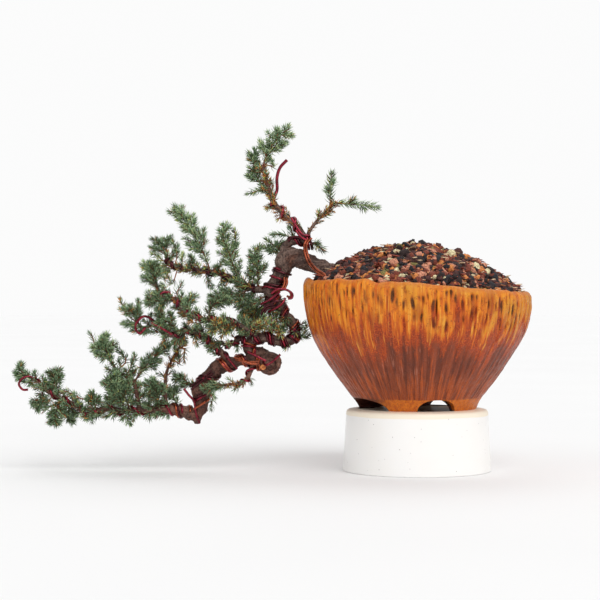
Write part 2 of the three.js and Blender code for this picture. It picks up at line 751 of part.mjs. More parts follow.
// Foliage: a spray is a slim three-sided core with a needle raised on every second side face
function spray(path, core, needle, bareSteps) {
  const frames = pathFrames(path);
  const points = [];
  const triangles = [];
  const rings = path.length;
  path.forEach((centre, i) => {
    const taper = 1 - (SPRAY_CORE_TAPER * i) / rings;
    for (let j = 0; j < 3; j += 1) {
      const angle = (2 * Math.PI * j) / 3 + (i % 2) * (Math.PI / 3);
      points.push(centre.clone()
        .addScaledVector(frames[i].across, core * taper * Math.cos(angle))
        .addScaledVector(frames[i].side, core * taper * Math.sin(angle)));
    }
  });
  const raise = (a, b, c, along, length) => {
    const middle = points[a].clone().add(points[b]).add(points[c]).divideScalar(3);
    const out = points[b].clone().sub(points[a]).cross(points[c].clone().sub(points[a])).normalize();
    const tip = middle
      .addScaledVector(out, length * Math.sin(rad(NEEDLE_LEAN)))
      .addScaledVector(along, length * Math.cos(rad(NEEDLE_LEAN)));
    const top = points.push(tip) - 1;
    triangles.push(a, b, top, b, c, top, c, a, top);
  };
  triangles.push(0, 2, 1);
  for (let i = 0; i < rings - 1; i += 1) {
    const low = i * 3;
    const high = low + 3;
    for (let j = 0; j < 3; j += 1) {
      const next = (j + 1) % 3;
      const over = i % 2 === 0 ? j : next;
      const after = i % 2 === 0 ? next : (next + 1) % 3;
      if (i < bareSteps) {
        triangles.push(low + j, low + next, high + over);
      } else {
        raise(low + j, low + next, high + over, frames[i].along, needle * (1 - (NEEDLE_TAPER * i) / rings));
      }
      triangles.push(low + next, high + after, high + over);
    }
  }
  const end = (rings - 1) * 3;
  const reach = needle * END_NEEDLE_SHARE;
  const tip = points.push(path[rings - 1].clone().addScaledVector(frames[rings - 1].along, reach)) - 1;
  triangles.push(end, end + 1, tip, end + 1, end + 2, tip, end + 2, end, tip);
  return solid(closedGeometry(points, triangles));
}

// The direction of a heading in the front view, tipped away from it
function headed(heading, away) {
  return new THREE.Vector3(
    Math.cos(rad(heading)) * Math.cos(rad(away)),
    Math.sin(rad(away)),
    Math.sin(rad(heading)) * Math.cos(rad(away)),
  );
}

// Where a mass begins: just clear of its limb's surface
const LIMB_NODES = {
  trunk_upper: ['trunk_foot', 'trunk_drop', 'trunk_hook', 'trunk_knot'],
  trunk_lower: ['trunk_reach'],
  trunk_end: ['trunk_tail'],
};

function massRoot(mass, slide) {
  const limb = limbs[mass.limb];
  const place = Math.min(Math.max(mass.place + slide, 0), limb.last);
  const way = headed(mass.heading, mass.away);
  const root = limb.pointAt(place);
  const wood = (LIMB_NODES[mass.limb] ?? [mass.limb]).map((name) => bodies.get(name));
  const sunk = () => {
    const probe = [root.clone(), root.clone().addScaledVector(way, SPRAY_STEP)];
    return touches(spray(probe, SPRAY_CORE_RADIUS + NEEDLE_GAP, 0, 1), wood);
  };
  while (sunk()) {
    root.addScaledVector(way, ROOT_STEP);
  }
  return root.addScaledVector(way, CLEARANCE);
}

function varied(roll) {
  return 1 + SHOOT_VARIETY * (roll() - 0.5);
}

// The growth rule: a bending stem, shoots to the left, right, back and front of it in turn
function growth(mass, root, seed) {
  const roll = dice(seed);
  const steps = Math.max(STEM_STEPS_AT_LEAST, Math.round(mass.length / SPRAY_STEP));
  const stem = [root.clone()];
  for (let i = 0; i < steps; i += 1) {
    const heading = mass.heading + (mass.bend * (i + 0.5)) / steps;
    stem.push(stem[i].clone().addScaledVector(headed(heading, mass.away), mass.length / steps));
  }
  const shoots = [];
  for (let i = 0; i < mass.shoots; i += 1) {
    const t = FIRST_SHOOT + (SHOOT_SPAN * (i + 0.5 * roll())) / mass.shoots;
    const at = t * steps;
    const low = Math.min(Math.floor(at), steps - 1);
    const start = stem[low].clone().lerp(stem[low + 1], at - low);
    const heading = mass.heading + mass.bend * t;
    const along = headed(heading, mass.away);
    const left = new THREE.Vector3(-Math.sin(rad(heading)), 0, Math.cos(rad(heading)));
    const back = left.clone().cross(along);
    const turn = SHOOT_TURNS[i % SHOOT_TURNS.length] + SHOOT_TURN_SPREAD * (roll() - 0.5);
    const side = left.multiplyScalar(Math.cos(rad(turn))).addScaledVector(back, Math.sin(rad(turn)));
    const spread = mass.spread * varied(roll);
    const length = mass.reach * (SHOOT_LONGEST - SHOOT_FADE * t) * varied(roll);
    const bits = Math.max(2, Math.round(length / SPRAY_STEP));
    const path = [start];
    for (let j = 0; j < bits; j += 1) {
      const open = rad(spread * (1 - (SHOOT_CLOSING * j) / bits));
      const way = along.clone().multiplyScalar(Math.cos(open)).addScaledVector(side, Math.sin(open));
      path.push(path[j].clone().addScaledVector(way, length / bits));
    }
    shoots.push(path);
  }
  return { stem, shoots };
}

function foliage(name, mass, seed, taken) {
  const slides = mass.place === limbs[mass.limb].last ? [0] : ROOT_SLIDES;
  for (const slide of slides) {
    const { stem, shoots } = growth(mass, massRoot(mass, slide), seed);
    const bare = Math.max(1, Math.floor(stem.length * BARE_SHARE));
    const guard = spray(stem, SPRAY_CORE_RADIUS + NEEDLE_GAP, NEEDLE_LENGTH + NEEDLE_GAP, bare);
    if (!touches(guard, taken)) {
      let body = spray(stem, SPRAY_CORE_RADIUS, NEEDLE_LENGTH, bare);
      for (const path of shoots) {
        const reserve = spray(path, SPRAY_CORE_RADIUS + NEEDLE_GAP, NEEDLE_LENGTH + NEEDLE_GAP, 1);
        if (!touches(reserve, taken)) {
          body = body.add(spray(path, SPRAY_CORE_RADIUS, NEEDLE_LENGTH, 1));
        }
      }
      return body;
    }
  }
  throw new Error(`${name} has no room for its stem`);
}

function touches(body, taken) {
  return taken.some((other) => body.intersect(other).volume() > 0);
}

// Put the parts together
addNode('stand', stand(), materials.plinth);
addNode('pot', pot(), materials.glaze);

const foot = trunkPart('trunk_foot').subtract(belowGround());
const pocket = trunkPart('trunk_foot', CLEARANCE)
  .subtract(belowGround().translate([0, 0, -CLEARANCE]))
  .add(wireSolid(WIRES.wire_anchor, CLEARANCE));
addNode('soil', soil(pocket), materials.grit);
addNode('trunk_foot', foot, materials.bark);
addNode('trunk_drop', trunkPart('trunk_drop'), materials.bark);
addNode('trunk_hook', trunkPart('trunk_hook'), materials.bark);
addNode('trunk_knot', trunkPart('trunk_knot'), materials.bark);
addNode('trunk_reach', trunkPart('trunk_reach').subtract(knot(CLEARANCE)), materials.bark);
addNode('trunk_tail', trunkPart('trunk_tail').subtract(trunkPart('trunk_reach', CLEARANCE)), materials.bark);

function swollen(name) {
  if (name in BOUGHS) {
    return limbSolid(limbs[name], 0, limbs[name].last, LIMB_SIDES, CLEARANCE);
  }
  return trunkPart(name, CLEARANCE);
}

for (const [name, bough] of Object.entries(BOUGHS)) {
  limbs[name] = limbOf(bough.route);
  let body = limbSolid(limbs[name], 0, limbs[name].last, LIMB_SIDES);
  for (const parent of bough.parent) {
    body = body.subtract(swollen(parent));
  }
  addNode(name, body, materials.bark);
}

for (const [name, wire] of Object.entries(WIRES)) {
  addNode(name, wireSolid(wire), materials.wire);
}

Object.entries(MASSES).forEach(([name, mass], order) => {
  const taken = [...bodies.values()];
  addNode(`mass_${name}`, foliage(name, mass, FIRST_SEED + order, taken), materials.needles);
});

export default group;
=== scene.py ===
# Cascade juniper bonsai: a wired tree that spills over the rim of a footed bowl on a round plinth.
# Routes and sizes are millimetres until they reach a mesh. +Z up, +X to the right, +Y away.

import math

import bmesh
import bpy
import numpy as np
from mathutils import Matrix, Vector, kdtree, noise


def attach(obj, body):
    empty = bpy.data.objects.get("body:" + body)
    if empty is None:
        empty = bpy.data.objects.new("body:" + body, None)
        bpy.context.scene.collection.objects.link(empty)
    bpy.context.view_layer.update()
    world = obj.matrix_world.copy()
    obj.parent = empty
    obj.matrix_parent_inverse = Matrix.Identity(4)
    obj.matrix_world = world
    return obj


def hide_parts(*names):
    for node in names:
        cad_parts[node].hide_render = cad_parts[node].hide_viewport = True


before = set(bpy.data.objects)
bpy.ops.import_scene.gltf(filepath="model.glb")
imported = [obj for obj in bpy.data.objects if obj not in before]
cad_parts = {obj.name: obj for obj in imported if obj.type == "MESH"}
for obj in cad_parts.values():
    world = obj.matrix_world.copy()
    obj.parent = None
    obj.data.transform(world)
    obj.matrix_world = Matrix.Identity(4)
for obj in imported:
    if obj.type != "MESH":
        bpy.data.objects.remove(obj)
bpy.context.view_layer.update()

bl_info = {
    "name": "Cascade juniper bonsai",
    "version": (1, 0, 0),
    "blender": (4, 5, 0),
    "location": "3D View > Sidebar > Juniper",
    "description": "Models a wired cascade juniper in a carved and glazed bowl",
    "category": "Add Mesh",
}

MM = 0.001

# Plinth and bowl
STAND_HEIGHT = 55
STAND_TOP_RADIUS = 63.5
STAND_FOOT_RADIUS = 66.6
STAND_LIP = 3
STAND_WELL_EDGE = 9
STAND_WELL_DEPTH = 0.2
STAND_FOOT_ROUNDING = 1.2
CLEARANCE = 0.3
POT_BASE_Z = STAND_HEIGHT + CLEARANCE
POT_TILT_START_Z = 105
POT_TILT_END_Z = 158
RIM_SLOPE = -0.06
RIM_WAVE = 1.1
RIM_WAVES = 3
RIM_WAVE_TURN = 0.6
FOOT_HEIGHT = 11
FOOT_INNER_RADIUS = 42
FOOT_OUTER_RADIUS = 53
FOOT_DRAFT = 8
# Each arch between two feet: its direction, with 0 at the front, and half its width
ARCHES = ((15, 17.2), (126.5, 31), (204.5, 14), (292, 31.8))
ARCH_INNER_REACH = 22
ARCH_OUTER_REACH = 68
ARCH_SQUARENESS = 0.8
OUTER_WALL = ((56.7, 64), (63.9, 73.4), (77.4, 91.4), (91.8, 114.3), (98.4, 130), (101.7, 146), (102.4, 154))
RIM_LIP = ((102, 161.5), (99.5, 165.6), (96.5, 166), (94.6, 164))
INNER_WALL = ((94, 160), (93, 148), (84, 112), (40, 96), (0.5, 96))
WALL_STEPS_ROUND = 600
GOUGE_SEED = 401
# Corners nearer to the axis than this are drawn together into a pole
POLE_RADIUS = 0.6
# How rough the wall is: size of its broad and its fine swells, and how many fit in a millimetre
BROAD_SWELL = 0.5
BROAD_PITCH = 0.035
FINE_SWELL = 0.35
FINE_PITCH = 0.33
FLUTE_DEPTH = 0.6
MOST_OUTWARD = 0.4
RIM_SWELL = 0.9
RIM_PITCH = 0.09
# Swells and dents of the rim: direction from the right, half width, both in degrees, and rise in millimetres
RIM_BUMPS = ((180, 9, 2.2), (222, 7, 1.6), (238, 6, 1.4), (245.5, 3.5, -1.2), (100, 14, 1.2), (60, 10, -1),
             (310, 12, 0.8))

# Soil
MOUND_PEAK_Z = 203
MOUND_FALL = 37
MOUND_RADIUS = 93.2
SOIL_EDGE_RADIUS = 93.2
LUMP_RISE = 2.4
LUMP_WAVE = 40
LUMP_MARGIN = 14

# The front view is drawn on the upright plane through the bowl's axis, as seen from this far off.
EYE_DISTANCE = 1500
EYE_ACROSS = -105.3
EYE_UP = 153

# Limb routes: across, up, away and the limb's diameter there
ROUTES = {
    "trunk_upper": (
        (-58, 160.5, 2, 29), (-65, 171, 1, 21), (-74, 176.8, 0, 16), (-90, 183.3, 0, 13.6),
        (-107, 190.5, 0, 17), (-117, 189.5, 0, 19.5), (-121, 179.5, 0, 15), (-126.5, 170, 0, 12.6),
        (-132.5, 161.5, 2, 11.6), (-129, 154, 4, 10.8), (-124.3, 148, 4, 10), (-119, 139.5, 4, 9.8),
        (-111.5, 131, 3, 9.4), (-109, 122, 0, 8.4), (-114, 116.5, -3, 8.2), (-123, 115.5, -5, 8.2),
        (-133, 118.5, -6, 8.2), (-144, 118.5, -6, 8.6), (-151.5, 114, -4, 9.4), (-151, 108, -1, 10),
        (-144, 105, 2, 10.8), (-134, 103, 3, 11.5),
    ),
    "trunk_lower": (
        (-131, 93, -1, 11), (-142, 96, -3, 10.8), (-151, 99, -4, 9.8), (-160, 98, -4, 9.2),
        (-171, 95, -3, 13), (-181, 90.5, -2, 14), (-190, 80.5, -2, 12.5), (-194.5, 70.5, -2, 17),
        (-193.5, 60, -2, 12), (-197.5, 49, -2, 10.5), (-198, 41.5, -2, 5),
    ),
    "trunk_end": (
        (-198, 48.5, -2, 11.5), (-206, 51.3, -2, 11.5), (-214, 53.5, -2, 9.8), (-225, 55, -2, 8),
        (-249, 54, -2, 6.3), (-265.5, 53, -3, 5.4), (-281, 55, -4, 5.2), (-292, 52, -4, 4.6),
        (-299, 51, -4, 4.4), (-311, 60.5, -4, 4), (-323, 65.7, -3, 3.6), (-334, 71.5, -2, 3.2),
        (-341, 79, -1, 2.6), (-351, 83.7, 0, 1.8),
    ),
    "bough_arch": (
        (-121, 192, 0, 8.5), (-119, 200.5, 0, 7.6), (-112, 205.6, 0, 7), (-104, 206, -1, 6.6),
        (-97.5, 205.8, -2, 6.6),
    ),
    "bough_leader": (
        (-101, 207.5, -2, 6.2), (-105.8, 217, -2, 6), (-114.3, 225, -1, 5.6), (-122.4, 233, 0, 5.2),
        (-129, 240.5, 1, 5), (-132.5, 250, 2, 4.6), (-136, 261, 2, 4.2), (-138.8, 272.5, 2, 3.6),
    ),
    "bough_side": (
        (-98.6, 208, -4, 3.6), (-96.6, 215, -4.5, 3.2), (-89, 225, -4, 3), (-81, 233, -4, 2.6),
        (-73.8, 240.3, -4, 2.2),
    ),
    "bough_second": (
        (-133, 162, 2, 7), (-146, 163, 8, 6.2), (-157, 167.5, 12, 5.6), (-177, 176.5, 16, 5),
        (-191, 179, 20, 4.6), (-204, 181, 23, 4.2), (-215, 182.7, 25, 3.8), (-223, 186, 27, 3.4),
        (-226, 192.6, 28, 3),
    ),
    "bough_third": (
        (-143, 118.5, -6, 5.6), (-148, 124.5, -12, 5.2), (-160, 130.5, -17, 4.8),
        (-177, 135, -21, 4.6), (-191, 135.5, -24, 4.2), (-203, 140, -27, 3.8),
        (-212, 146, -29, 3.4), (-219, 154, -30, 3.1), (-226, 158.5, -30, 2.8), (-233, 162, -30, 2.6),
    ),
    "bough_fourth": (
        (-171, 95, -3, 6.4), (-175.5, 105, -8, 5.6), (-184.5, 112.5, -12, 5), (-191, 119, -15, 4.6),
        (-198, 124, -18, 4.4), (-209, 125, -20, 4), (-218, 121, -22, 3.8), (-227, 123, -23, 3.4),
        (-237, 129.5, -24, 3), (-246.5, 128, -25, 2.6),
    ),
    "bough_stub": (
        (-151, 114, -4.5, 5.4), (-159, 118, -7, 4.8), (-165.6, 113.5, -9, 4.4),
        (-172, 112.5, -10, 3.8), (-177, 116, -11, 3),
    ),
    "bough_under": (
        (-147, 97, -3.5, 5), (-150, 88.5, -8, 4.4), (-154, 81, -11, 3.9), (-160, 77.5, -13, 3.4),
        (-170, 77, -15, 2.6),
    ),
    "bough_link": (
        (-225, 55, -2, 4), (-226.5, 66, 0, 3.2), (-226, 85, 3, 2.9), (-222, 96, 5, 2.7),
        (-217, 105, 7, 2.5), (-211.5, 114.3, 9, 2.2),
    ),
    "bough_low": (
        (-249, 54, -2, 4.4), (-252, 66, -6, 3.8), (-254, 77, -9, 3.6), (-260, 83, -11, 3.3),
        (-268, 88.5, -13, 3), (-274.5, 95.5, -15, 2.6),
    ),
}
KNOT_CENTRE = (-133, 96, 1)
KNOT_RADII = (10.5, 8.5, 10.5)
CALLUS_CENTRE = (-132.2, 96.2, -6.2)
CALLUS_LEAN = (math.radians(84), 0, math.radians(-10))
CALLUS_RADIUS = 7.9
CALLUS_THICK = 2.3
PRUNED_FACE = ((-137, 94, -2, 6), (-138.5, 92.6, -10.5, 5.6))
PRUNED_STUB = ((-146, 117, -4, 6), (-154, 122, 2, 5.2), (-162, 126.5, 4, 4.6))

# Foliage masses: limb, place, heading, away, length, bend, shoots, reach, spread, then the tint
MASSES = {
    "crown_tip": ("bough_leader", 7, 76, -4, 43, -42, 5, 14, 55, "fresh"),
    "crown_left": ("bough_leader", 4.7, 132, 14, 40, -56, 4, 10, 46, "mixed"),
    "side_up": ("bough_side", 3.5, 96, 4, 28, -16, 2, 7, 40, "fresh"),
    "side_right": ("bough_side", 4, -2, -3, 38, -8, 2, 7, 46, "mixed"),
    "side_low": ("bough_arch", 4, -27, -22, 16, -12, 1, 4, 45, "golden"),
    "knuckle_fan": ("trunk_upper", 5.7, 112, 28, 14, -20, 5, 14, 56, "mixed"),
    "shoulder": ("bough_second", 0.8, 86, -26, 38, 18, 5, 12, 50, "mixed"),
    "second_rise": ("bough_second", 2, 118, -12, 52, -22, 5, 13, 46, "fresh"),
    "second_tall": ("bough_second", 3.6, 109, 14, 69, 22, 7, 15, 46, "fresh"),
    "second_tip": ("bough_second", 8, 112, 8, 15, 0, 4, 14, 52, "mixed"),
    "second_light": ("bough_second", 6.9, 205, -8, 22, -42, 3, 9, 46, "lime"),
    "second_inner": ("bough_second", 1.2, -105, 38, 33, -20, 4, 12, 52, "mixed"),
    "second_front": ("bough_second", 1.35, 216, -34, 41, -50, 4, 11, 46, "mixed"),
    "third_curl": ("bough_third", 3.7, 93, -8, 29, -115, 3, 8, 44, "deep"),
    "third_tip": ("bough_third", 9, 125, -4, 25, -60, 4, 11, 50, "mixed"),
    "third_mid": ("bough_third", 5.2, 102, 32, 13, 12, 4, 12, 52, "mixed"),
    "third_under": ("bough_third", 7, 196, -30, 23, -34, 4, 11, 50, "mixed"),
    "third_root": ("bough_third", 1.9, 178, -46, 30, 8, 4, 11, 50, "golden"),
    "fourth_mid": ("bough_fourth", 5.5, 128, -26, 26, 30, 5, 12, 52, "mixed"),
    "fourth_fall": ("bough_fourth", 4.8, -138, 38, 17, -20, 3, 9, 50, "golden"),
    "fourth_tip": ("bough_fourth", 9, 140, -6, 20, -40, 4, 16, 54, "mixed"),
    "drop_fringe": ("trunk_upper", 9.05, -152, 22, 31, 30, 5, 12, 48, "golden"),
    "low_tip": ("bough_low", 5, 110, -18, 24, 6, 6, 15, 52, "fresh"),
    "low_rise": ("bough_low", 2.2, 58, 14, 47, -24, 4, 10, 46, "mixed"),
    "tail_broad": ("trunk_end", 4.45, 112, -36, 39, 14, 6, 15, 52, "mixed"),
    "tail_left": ("trunk_end", 5.05, 108, 32, 35, 10, 5, 13, 52, "deep"),
    "tail_root": ("trunk_end", 3.3, 98, -44, 34, 0, 4, 12, 50, "deep"),
    "tail_inner": ("trunk_end", 1.9, 118, 20, 16, -6, 4, 11, 50, "mixed"),
    "reach_feather": ("trunk_lower", 6.7, 158, -6, 18, -10, 3, 7, 42, "deep"),
    "tail_mid": ("trunk_end", 6.63, 98, -34, 15, 8, 3, 8, 50, "deep"),
    "tail_brush": ("trunk_end", 9.9, 114, 22, 23, -24, 5, 11, 46, "deep"),
    "tail_hang": ("trunk_end", 9.15, -100, 32, 18, 6, 4, 9, 52, "deep"),
    "tail_fall": ("trunk_end", 9.8, -104, -30, 22, 0, 4, 11, 46, "deep"),
    "tip_hang": ("trunk_end", 11.2, -108, -24, 15, 0, 3, 10, 46, "deep"),
    "tail_tip": ("trunk_end", 13, 140, 0, 10, -12, 2, 8, 46, "mixed"),
    "under_spray": ("bough_under", 4, 178, -12, 22, 30, 3, 7, 40, "mixed"),
}
FIRST_SEED = 11
SPRAY_STEP = 6.5
STEM_STEPS_AT_LEAST = 3
SHOOT_TURNS = (0, 180, 75, 335, 155, 265)
SHOOT_TURN_SPREAD = 50
FIRST_SHOOT = 0.22
SHOOT_SPAN = 0.7
SHOOT_LONGEST = 1.15
SHOOT_FADE = 0.55
SHOOT_CLOSING = 0.35
SHOOT_VARIETY = 0.4

# Sprigs too small to be masses: across, up, away, heading, tip away, length, tint
SPRIGS = (
    (-132, 252.5, 0, 186, -10, 21, "fresh"), (-112, 209, -3, 98, -12, 11, "mixed"),
    (-129, 273, 0, 112, 0, 11, "mixed"), (-117, 211, -4, 172, -10, 15, "mixed"),
    (-164, 190, 2, 84, -5, 26, "mixed"), (-216, 193, 18, 100, 0, 14, "mixed"),
    (-228, 188, 20, 140, 0, 13, "lime"), (-220, 168, 22, 125, -5, 14, "golden"),
    (-226, 172, 22, 150, -10, 10, "golden"), (-222, 190, 22, 55, 0, 14, "mixed"),
    (-236, 176, 22, 10, 0, 13, "lime"),
    (-212, 183, 25, 80, -10, 12, "lime"), (-206, 181, 23, 62, -30, 13, "deep"),
    (-198, 181, 21, 110, -20, 14, "deep"), (-186, 179, 18, 30, -25, 16, "mixed"),
    (-109, 129, 3, 20, -20, 9, "deep"), (-108, 121, 0, -8, -12, 11, "deep"),
    (-104, 120, 2, 60, -5, 12, "mixed"),
    (-120, 146, 4, -140, -30, 12, "golden"), (-118, 142, 4, -110, -35, 12, "golden"),
    (-127, 153, 3, -125, -28, 13, "mixed"), (-128, 150, -2, -115, -10, 16, "golden"),
    (-120, 143, -4, -95, -5, 17, "mixed"), (-113, 137, 0, -135, -5, 17, "deep"),
    (-127, 142, -6, -130, -5, 9, "golden"), (-133, 147, -8, -128, -15, 19, "golden"),
    (-124, 147, -10, -104, -20, 20, "golden"), (-142, 125, -8, 66, -20, 15, "golden"),
    (-150, 122, -9, 104, -25, 15, "mixed"), (-132, 122, -8, 80, -15, 14, "golden"),
    (-158, 124, -6, 70, -20, 15, "golden"), (-120, 128, -6, 160, -15, 15, "mixed"),
    (-146, 127, -8, 24, -38, 19, "golden"), (-140, 130, -8, -28, -40, 17, "golden"),
    (-150, 122, -8, 50, -38, 17, "golden"), (-134, 126, -8, 150, -40, 15, "golden"),
    (-128, 130, -8, -62, -40, 15, "golden"), (-120, 118, -8, 112, -40, 15, "golden"),
    (-146, 164, 5, -112, -10, 18, "mixed"), (-150, 164, 0, 150, -15, 16, "mixed"),
    (-160, 168, -3, -75, -15, 18, "mixed"), (-152, 166, -4, 78, -5, 24, "mixed"),
    (-166, 170, 2, 62, -10, 20, "mixed"), (-140, 163, -3, 128, -15, 20, "deep"),
    (-133, 158, 3, -152, -15, 17, "deep"), (-134, 152, 3, 176, -20, 15, "mixed"),
    (-176, 172, 4, -86, -10, 16, "mixed"), (-190, 176, 10, -72, -10, 14, "mixed"),
    (-250, 56, 4, 88, -10, 24, "mixed"), (-243, 57, 0, 66, -15, 22, "mixed"),
    (-256, 56, -4, 104, 10, 22, "deep"), (-236, 57, -4, 78, -10, 16, "golden"),
    (-188, 74, -6, -62, -10, 11, "mixed"),
    (-184, 64, -10, -104, -10, 9, "deep"), (-240, 53, -3, -100, -28, 8, "deep"),
    (-252, 52, -3, -120, -20, 8, "deep"), (-262, 52, -3, -78, 10, 12, "deep"),
    (-272, 53, -4, -112, 20, 7, "deep"), (-292, 50, -4, -98, -12, 7, "deep"),
    (-228, 164, 14, -100, -20, 14, "lime"), (-216, 160, -25, 60, 20, 10, "deep"),
    (-244, 128, -25, 62, 10, 12, "deep"), (-226, 122, -23, -110, -12, 11, "golden"),
    (-199, 124, -18, -90, -20, 12, "golden"), (-166, 121, 4, 118, 10, 9, "mixed"),
    (-200, 132, -16, 140, 0, 16, "golden"), (-264, 143, -30, 100, 0, 11, "golden"),
    (-232, 124, -28, 172, -5, 24, "mixed"), (-290, 114, 0, 110, 0, 10, "mixed"),
    (-262, 98, 2, 120, 0, 15, "mixed"), (-252, 92, 2, -130, 0, 11, "golden"),
    (-214, 96, 6, 95, -5, 14, "golden"), (-209, 108, 6, -100, -5, 10, "golden"),
    (-302, 64, -4, 150, 0, 18, "golden"), (-327, 58, -4, -160, 0, 10, "mixed"),
    (-226, 84, 3, 152, -30, 8, "deep"), (-225, 92, 4, 20, -20, 7, "golden"),
    (-262, 85, 2, 60, -5, 20, "mixed"),
    (-88, 226, -4, 92, -20, 7, "golden"), (-83, 231, -4, 20, 24, 7, "golden"),
    (-118, 229, -1, 200, -12, 8, "golden"), (-128, 239, 1, 205, 24, 8, "golden"),
)

# Training wires wound on limbs: limb, from, to, turns, phase, and the metal of each strand side by side
COILS = {
    "leader": ("bough_leader", 0.9, 4.2, 2.5, 20, ("red",)),
    "knuckle": ("trunk_upper", 6.0, 6.9, 1.2, 90, ("maroon", "red")),
    "drop": ("trunk_upper", 6.9, 12.4, 3.2, 45, ("red", "maroon")),
    "drop_second": ("trunk_upper", 13.6, 8.4, 3.6, 190, ("copper", "maroon")),
    "hook": ("trunk_upper", 12.6, 17.4, 4.2, 100, ("maroon", "red", "maroon")),
    "knot": ("trunk_upper", 17.4, 20.4, 1.8, 30, ("red", "copper")),
    "arch": ("bough_arch", 0.9, 3.9, 1.3, 250, ("maroon", "red")),
    "reach": ("trunk_lower", 1.6, 8.4, 4.1, 345, ("red", "maroon")),
    "reach_second": ("trunk_lower", 0.8, 4.6, 2.6, 60, ("copper", "copper")),
    "tail": ("trunk_end", 1.6, 12.2, 8.4, 170, ("red",)),
    "tail_second": ("trunk_end", 0.8, 3.4, 1.7, 200, ("copper", "maroon")),
    "second": ("bough_second", 0.9, 7.6, 7.2, 120, ("maroon", "maroon")),
    "third": ("bough_third", 0.8, 7.4, 6.2, 40, ("red", "maroon")),
    "fourth": ("bough_fourth", 0.5, 6.4, 5.4, 200, ("red", "maroon")),
    "under": ("bough_under", 0.4, 3.4, 2.2, 60, ("red",)),
    "stub": ("bough_stub", 0.4, 3.0, 2.3, 20, ("maroon", "red")),
}
WIRE_ENDS = {
    "leader": ((-126, 252, 2), (-126, 263, 1), (-123.3, 272, 0), (-117, 279, 0)),
    "tail": ((-349, 84, -4), (-355, 82.5, -5), (-358.3, 77.4, -5), (-355, 72.5, -5), (-350, 72.3, -5)),
    "drop_second": ((-122, 162, -9), (-116, 161.5, -10), (-113.4, 158.5, -10), (-114.3, 155.6, -10),
                    (-117, 156.5, -9)),
    "fourth": ((-243, 138, -31), (-252, 133, -31), (-253, 127, -31), (-249.5, 123, -31),
               (-244.5, 128, -33)),
    "third": ((-231, 157, -36), (-228, 160, -35), (-222, 159.5, -34)),
    "knot": ((-137, 95, -13), (-131, 97, -14), (-123, 104, -13)),
}
LOOSE_WIRES = (
    ("copper", ((-97, 209, -7), (-101, 204, -12), (-101, 196, -12), (-98, 187, -15), (-92, 179.5, -24),
                (-84.5, 174.5, -31), (-80, 169, -34))),
    ("copper", ((-95, 208.5, -8), (-99, 203.5, -12), (-99, 196.2, -12.4), (-96, 188, -15.6),
                (-90.6, 181.2, -24.4), (-83.4, 176.2, -31), (-79, 170.6, -33.6))),
    ("red", ((-96, 211, -8), (-103, 212, -9), (-109, 220, -8), (-113, 227, -7))),
    ("maroon", ((-116, 205.5, -6), (-112.5, 209.2, -6), (-108.9, 210, -6), (-104.4, 208.8, -6),
                (-99.5, 206.5, -8))),
    ("red", ((-99.4, 212, -3), (-99, 209, -8.4), (-97.8, 203, -9), (-97, 198.5, -5))),
    ("maroon", ((-97, 212, -3), (-96.4, 208.6, -8.4), (-95.2, 202.6, -9), (-94.4, 198.6, -5))),
    ("red", ((-108.9, 216, -8), (-105.3, 210.6, -9), (-99.9, 207, -9.4))),
    ("copper", ((-117.4, 173, -7), (-117, 168.3, -8), (-119.4, 162.6, -10.4))),
    ("copper", ((-119.4, 173.2, -8.6), (-119.2, 168.2, -10), (-121.4, 162.6, -11.6))),
    ("red", ((-131, 158.8, -13), (-125.6, 162.6, -13.6), (-120.6, 162.8, -12.6), (-115.6, 161.4, -12),
             (-112.2, 158.2, -11.6), (-112.8, 154.8, -11), (-116, 154.2, -10.6))),
    ("red", ((-140.4, 149.4, -9), (-133.6, 152.6, -12.4), (-127.2, 157.5, -13), (-123.3, 160.4, -12.6))),
    ("maroon", ((-138, 147.8, -9), (-130.5, 150.3, -12.2), (-126.2, 152.2, -12.4), (-119.6, 151, -10))),
    ("red", ((-133.6, 142.4, -8), (-126.9, 145.8, -11.6), (-121.4, 149.8, -11.4), (-118.6, 154.6, -9))),
    ("maroon", ((-128.6, 149, -12), (-135, 147.4, -11), (-139.4, 142.4, -10), (-139.6, 137.6, -9),
                (-137.6, 134, -8))),
    ("maroon", ((-127.8, 147, -12), (-134, 145.4, -11), (-137.4, 141.6, -10), (-137.6, 137.8, -9),
                (-135.8, 135, -8))),
    ("red", ((-174.6, 106.4, -9), (-169.4, 99.6, -12), (-162, 90.9, -9))),
    ("copper", ((-164.4, 101.6, -11), (-157, 98.4, -13), (-149.6, 97.4, -14), (-142.2, 97.6, -14))),
    ("copper", ((-163.4, 99.4, -11.4), (-156, 97.6, -13.4), (-149.4, 95.6, -14), (-142.6, 95.6, -14))),
    ("red", ((-152.4, 106.4, -11), (-144.4, 102.4, -13.4), (-135.9, 98.1, -14))),
    ("maroon", ((-184.5, 89.4, -8), (-194, 82.4, -8), (-204.6, 74.6, -6))),
    ("maroon", ((-183.4, 87.4, -10), (-193, 80.4, -10), (-203.4, 72.4, -8))),
    ("red", ((-209.7, 73, -8), (-205.4, 67.4, -10), (-200.7, 61.8, -10), (-198.6, 50, -9), (-195.6, 42, -8))),
    ("copper", ((-186.3, 64.2, -9), (-192.6, 60, -12), (-200.7, 54.9, -9))),
    ("red", ((-239, 132.6, -34), (-231.3, 128.4, -34), (-220.5, 122, -31))),
)

LIMB_NODES = [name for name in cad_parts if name.startswith("bough_")]
TRUNK_NODES = [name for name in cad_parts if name.startswith("trunk_")]
WIRE_NODES = [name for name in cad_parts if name.startswith("wire_")]


# Small helpers

def paint(red, green, blue):
    """A colour given as screen values from 0 to 255, as the shaders want it."""
    return tuple((value / 255) ** 2.2 for value in (red, green, blue))


def clear_selection():
    if bpy.context.object and bpy.context.object.mode != "OBJECT":
        bpy.ops.object.mode_set(mode="OBJECT")
    bpy.ops.object.select_all(action="DESELECT")


